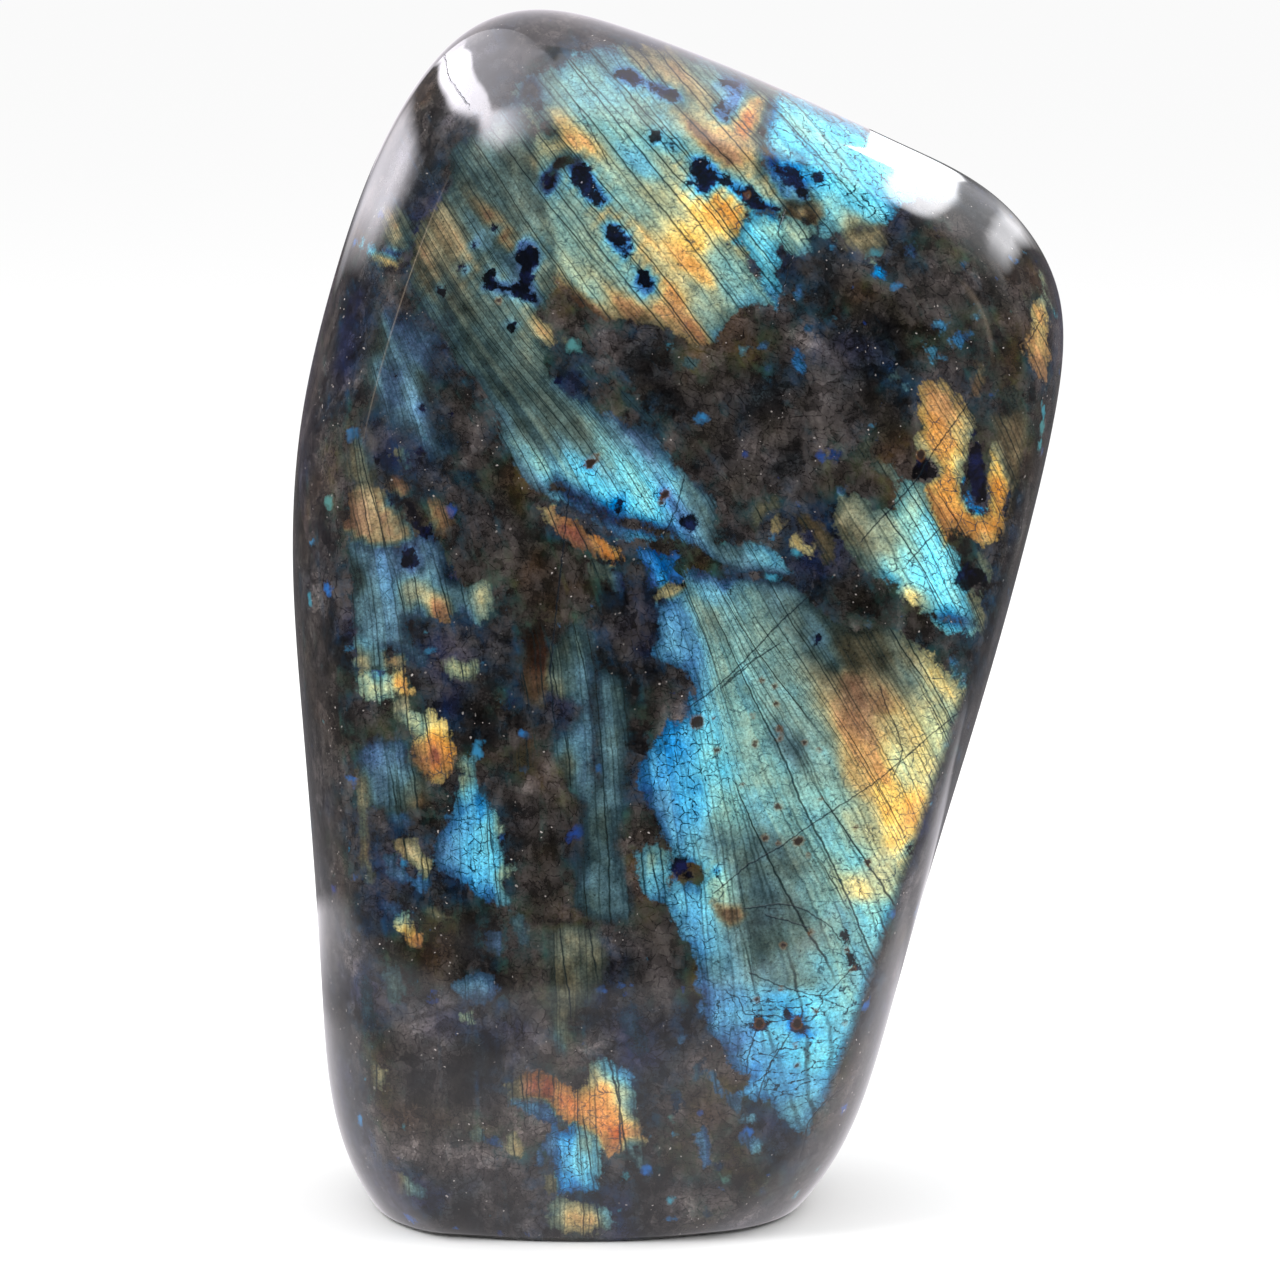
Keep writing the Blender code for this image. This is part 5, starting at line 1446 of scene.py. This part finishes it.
# The polish: a mirror, duller over the rust specks, and dented over them and the fractures.
smear = add(tree, "TexNoise", {"Vector": mm, "Scale": 1 / SMEAR_MM, "Detail": 4.0})
roughness = add(tree, "MapRange", (smear, 0.3, 0.7, 0.05, 0.10))
rough_core = add(tree, "Math", (core, 0.25, roughness), operation="MULTIPLY_ADD")
dent = add(tree, "Math", (breaks, core), operation="MAXIMUM")
ripple = add(tree, "TexNoise", {"Vector": mm, "Scale": 1 / RIPPLE_MM, "Detail": 1.0})
height = add(tree, "Math", (ripple, 1.2), operation="MULTIPLY")
height = add(tree, "Math", (height, dent), operation="SUBTRACT")
bump = add(tree, "Bump", {"Strength": 0.5, "Distance": DENT_MM * MM, "Height": height.outputs[0]})
surface = add(tree, "BsdfPrincipled", {
    "Base Color": colour, "Roughness": rough_core, "IOR": 1.56, "Normal": bump,
})
add(tree, "OutputMaterial", {"Surface": surface})
mesh.materials.append(polished)

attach(stone, "root")
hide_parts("stone")

# The studio
# A white room with a white paper sweep under the block. Charcoal flats stand all round it, which
# keeps the polish dark, and two bowed windows, with two bright gaps and two pale cards, burn the
# crown and the shoulders out. The camera sees the sweep alone.


def plain(name, colour, roughness=0.9):
    """A plain matte finish for the studio's own things."""
    material = bpy.data.materials.new(name)
    material.use_nodes = True
    surface = material.node_tree.nodes["Principled BSDF"]
    surface.inputs["Base Color"].default_value = linear(colour)
    surface.inputs["Roughness"].default_value = roughness
    surface.inputs["Specular IOR Level"].default_value = 0.0
    return material


def cards(name, corners, finish):
    """Flat cards in a row: pairs of low and high corners, in metres, each card sharing an edge."""
    sheet = bpy.data.meshes.new(name)
    faces = [(i, i + 2, i + 3, i + 1) for i in range(0, len(corners) - 2, 2)]
    sheet.from_pydata(corners, [], faces)
    sheet.materials.append(finish)
    made = bpy.data.objects.new(name, sheet)
    bpy.context.collection.objects.link(made)
    return made


white_paper = plain("white_paper", "#fafafa")
black_flock = plain("black_flock", "#000000")
charcoal_paper = plain("charcoal_paper", "#5c5860")
floor = cards("floor", ((-40, -40, 0), (-40, 40, 0), (40, -40, 0), (40, 40, 0)), white_paper)

ROUND = [math.radians(turn) for turn in range(0, 361, 15)]
FLATS_AWAY = 1.7
FLAT_TOP = 1.7
TALL_FLAT_TOP = 3.2   # to the right of the block
FLAG_UP = 0.002       # the flags on the floor lie just over the sweep
seen_in_polish = [
    cards("flats", [
        (FLATS_AWAY * math.sin(turn), -FLATS_AWAY * math.cos(turn), up)
        for turn in ROUND for up in (0, TALL_FLAT_TOP if 0.3 < turn < 2.3 else FLAT_TOP)
    ], charcoal_paper),
    cards("flag_front", (
        (-0.62, -1.6, 0), (-0.62, -1.6, 0.86), (0.62, -1.6, 0), (0.62, -1.6, 0.86),
    ), black_flock),
    cards("flag_floor", (
        (-0.9, -1.6, FLAG_UP), (-0.3, -0.385, FLAG_UP), (0.9, -1.6, FLAG_UP), (0.3, -0.385, FLAG_UP),
    ), black_flock),
    cards("flag_strip", (
        (-0.3, -0.328, FLAG_UP), (-0.3, -0.274, FLAG_UP), (0.3, -0.328, FLAG_UP),
        (0.3, -0.274, FLAG_UP),
    ), black_flock),
]

# The windows are bowed, so the polish shows them as arcs. Each row is an upright strip of one, at
# an azimuth: the low and high edge and the light of its lower pane, the same for its upper pane,
# the light of the gap between the panes, and that of the sky over them.
ABOUT = Vector((0.0, 0.0, 0.21))
WINDOW_AWAY = 1.2


def aimed(azimuth, elevation, away):
    """The point this far away in a direction given in degrees, with azimuth 0 towards -Y."""
    turn, rise = math.radians(azimuth), math.radians(elevation)
    return away * Vector((
        math.sin(turn) * math.cos(rise), -math.cos(turn) * math.cos(rise), math.sin(rise),
    ))


def glowing(name, colour):
    """A lit surface, as bright as the mesh's own light attribute."""
    material = bpy.data.materials.new(name)
    material.use_nodes = True
    tree = material.node_tree
    tree.nodes.clear()
    light = add(tree, "Attribute", attribute_name="light").outputs["Fac"]
    glow = add(tree, "Emission", {"Color": linear(colour), "Strength": light})
    add(tree, "OutputMaterial", {"Surface": glow})
    return material


def lit_sheet(name, colour, columns):
    """A sheet that gives light: columns of (point in metres, light), all of one length."""
    tall = len(columns[0])
    sheet = bpy.data.meshes.new(name)
    faces = [
        (i * tall + j, (i + 1) * tall + j, (i + 1) * tall + j + 1, i * tall + j + 1)
        for i in range(len(columns) - 1) for j in range(tall - 1)
    ]
    sheet.from_pydata([point for column in columns for point, _ in column], [], faces)
    layer = sheet.attributes.new("light", "FLOAT", "POINT")
    layer.data.foreach_set("value", [light for column in columns for _, light in column])
    sheet.materials.append(glowing(name, colour))
    made = bpy.data.objects.new(name, sheet)
    bpy.context.collection.objects.link(made)
    return made


for name, middle, colour, soft, rows in (
    ("windows_left", (-0.05, -0.03, 0.225), "#f8f4fc", 1.5, (
        (-184, 1, 2, 0.1, 4, 8, 1.5, 0.2, 1.9), (-172, 2, 3, 0.2, 7, 12, 2.6, 0.2, 2.1),
        (-160, 3, 7, 1, 14, 22, 3.6, 0.2, 2.6), (-152, 5, 11, 2.4, 20.5, 29, 5, 0.2, 3.2),
        (-144, 8.5, 15, 3.4, 25, 33, 8.5, 0.2, 3.7), (-136, 11, 18, 4.3, 28.5, 39, 12, 0.2, 4),
        (-128, 13.5, 21, 5.2, 31.5, 43, 15, 0.2, 4.4), (-120, 16, 23, 7, 34, 45, 17, 0.2, 4.9),
        (-112, 19, 25, 8.5, 36, 46, 18, 0.2, 5.2), (-104, 22, 26, 7, 37.5, 46, 18, 0.2, 5.2),
        (-97, 25, 26.5, 3, 38, 46, 18, 0.2, 5.2), (-90, 27, 28, 0.2, 38.4, 45.5, 18, 0.2, 5.2),
        (-76, 28, 29, 0.1, 39.6, 45, 18, 0.1, 5.2), (-64, 28, 29, 0.1, 39.6, 44, 18, 0.1, 5.2),
        (-54, 28, 29, 0.1, 38.6, 42, 18, 0.1, 5.2), (-46, 27, 28, 0.1, 37, 40.5, 18, 0.1, 5.2),
        (-38, 26, 27, 0.1, 35, 38, 18, 0.1, 5), (-31, 25, 26, 0.1, 33, 35.5, 18, 0.1, 4.8),
        (-24, 24, 25, 0.1, 31.2, 33.5, 17, 0.1, 4.4), (-17, 24, 25, 0.1, 30.4, 32.2, 14, 0.1, 4),
        (-11, 24, 25, 0.1, 30.6, 32.4, 7, 0.1, 3.8), (-6, 24, 25, 0.1, 31, 32.5, 3, 0.1, 3.6),
        (0, 24, 25, 0.1, 34, 36, 3.4, 0.1, 3.5), (9, 24, 25, 0.1, 41, 43, 3.2, 0.1, 3.5),
    )),
    ("windows_right", (0.06, -0.01, 0.2), "#f8f8fc", 1.6, (
        (-9, 24, 25, 0.1, 33, 35, 3.2, 0.1, 3.4), (0, 24, 25, 0.1, 37, 39, 3.2, 0.1, 3.4),
        (10, 24, 25, 0.1, 43, 45, 3.2, 0.1, 3.3), (20, 24, 25, 0.1, 50, 52, 3.4, 0.1, 3.2),
        (30, 24, 25, 0.1, 56, 58, 3.4, 0.1, 3.1), (45, 24, 25, 0.1, 61, 64, 3.6, 0.1, 3.0),
        (65, 28, 29, 0.2, 62, 67, 4, 0.2, 2.9), (80, 30, 32, 0.3, 60, 70, 7, 0.4, 2.8),
        (92, 37, 41, 0.8, 58.5, 72, 11, 0.8, 2.7), (101, 40, 43, 2.2, 57, 72, 13, 1.4, 2.6),
        (107, 37.5, 42.5, 4.2, 56, 71, 14, 1.7, 2.6), (113, 36.5, 41.5, 6.6, 54.5, 70, 14, 1.8, 2.5),
        (120, 33.5, 39, 7.6, 52.5, 69, 14, 1.8, 2.4), (128, 30, 35.5, 6.2, 49.5, 66, 14, 1.8, 2.4),
        (135, 27.5, 32.5, 5, 46, 63, 14, 1.7, 2.3), (143, 22, 26.5, 4.5, 41.5, 59, 14, 1.6, 2.2),
        (150, 17, 20.5, 4, 36, 54, 12, 1.5, 2.2), (157, 11.5, 14.5, 2, 29, 48, 10, 1.2, 2.1),
        (163, 7, 9.5, 1, 20, 40, 8, 0.6, 2.0), (169, 3, 5, 0.4, 12, 30, 4, 0.2, 1.9),
        (177, 1, 2, 0.1, 6, 20, 2, 0.1, 1.8),
    )),
):
    columns = []
    for azimuth, low, high, pane, bottom, top, bright, gap, sky in rows:
        strip = (
            (low - 3 * soft, 0.1), (low, pane), (high, pane),
            (min(high + 2 * soft, bottom - soft), gap), (bottom - soft, gap), (bottom, bright),
            (top, bright), (top + soft, sky), (89, 0.8 * sky),
        )
        columns.append([
            (Vector(middle) + aimed(azimuth, elevation, WINDOW_AWAY), light)
            for elevation, light in strip
        ])
    seen_in_polish.append(lit_sheet(name, colour, columns))

# The sweep is lit in rings round the foot, so in the polish it shows as pale bands low on the
# block, and darkens away from it.
SWEEP_UP = 0.001
seen_in_polish.append(lit_sheet("sweep_shaded", "#f6f2f8", [
    [(Vector((away * math.sin(turn), -away * math.cos(turn), SWEEP_UP)), light)
     for away, light in (
         (0.01, 1.1), (0.17, 1.0), (0.193, 0.9), (0.21, 0.62), (0.228, 0.58), (0.26, 0.85),
         (0.295, 1.2), (0.312, 1.25), (0.335, 0.34), (0.45, 0.2), (0.80, 0.14), (1.7, 0.12),
     )]
    for turn in ROUND
]))

# Two bright gaps between the flats, and the pale cards that grey the crown's rim.
for name, azimuth, elevation, wide, high, light in (
    ("gap_left", -55, 19, 0.05, 0.52, 3.5), ("gap_right", 30, 18, 0.04, 0.42, 3.0),
):
    middle = ABOUT + aimed(azimuth, elevation, 0.97 * WINDOW_AWAY)
    level = aimed(azimuth + 90, 0, wide / 2)
    upright = aimed(azimuth, elevation + 90, high / 2)
    seen_in_polish.append(lit_sheet(name, "#ffe6cc", [
        [(middle + along * level + rise * upright, shine * light)
         for rise, shine in ((-1, 0), (-0.4, 1), (0.4, 1), (1, 0))]
        for along, light in ((-1, 0), (-0.4, light), (0.4, light), (1, 0))
    ]))
CARD_BEHIND = 0.13
CARD_TOP = 1.1
CARD_OVER = 0.45
seen_in_polish.append(lit_sheet("card_crown", "#f4eef6", [
    [(Vector((across, CARD_BEHIND, low)), 1.3 + 1.2 * (low - 0.2)),
     (Vector((across, CARD_BEHIND, CARD_TOP)), 2.3)]
    for across, low in ((-0.10, 0.22), (-0.06, 0.215), (0.035, 0.20), (0.08, 0.29), (0.125, 0.375),
                        (0.19, 0.53), (0.34, 0.82), (0.45, 1.05))
]))
seen_in_polish.append(lit_sheet("card_over", "#f4eef6", [
    [(Vector((across, -0.10, CARD_OVER)), 2.6), (Vector((across, 0.135, CARD_OVER)), 2.0)]
    for across in (0.03, 0.178)
]))
for thing in seen_in_polish:
    thing.visible_camera = False
    thing.visible_diffuse = False
    thing.visible_shadow = False
    thing.visible_transmission = False

# The daylight that falls on the stone itself, from high on either side.
for name, azimuth, elevation, watts in (("sky_left", -70, 40, 9), ("sky_right", 100, 40, 9)):
    lamp = bpy.data.lights.new(name, "AREA")
    lamp.shape = "DISK"
    lamp.size, lamp.energy = 0.9, watts
    sky = bpy.data.objects.new(name, lamp)
    sky.location = ABOUT + aimed(azimuth, elevation, WINDOW_AWAY)
    sky.rotation_euler = aimed(azimuth, elevation, 1.0).to_track_quat("Z", "Y").to_euler()
    sky.visible_glossy = False
    bpy.context.collection.objects.link(sky)

world = bpy.data.worlds.new("white_room")
world.use_nodes = True
world.node_tree.nodes["Background"].inputs["Color"].default_value = (1.0, 1.0, 1.0, 1.0)
bpy.context.scene.world = world
bpy.context.scene.view_settings.view_transform = "Standard"

LENS_MM = 154.02
SENSOR_MM = 36.0
CAMERA_AT = (-0.0078, -1.1374, 0.2895)
CAMERA_TILT = 81.5   # from straight down, in degrees
lens = bpy.data.cameras.new("camera")
lens.lens = LENS_MM
lens.sensor_width = SENSOR_MM
camera = bpy.data.objects.new("camera", lens)
camera.location = CAMERA_AT
camera.rotation_euler = (math.radians(CAMERA_TILT), 0.0, 0.0)
bpy.context.collection.objects.link(camera)
bpy.context.scene.camera = camera
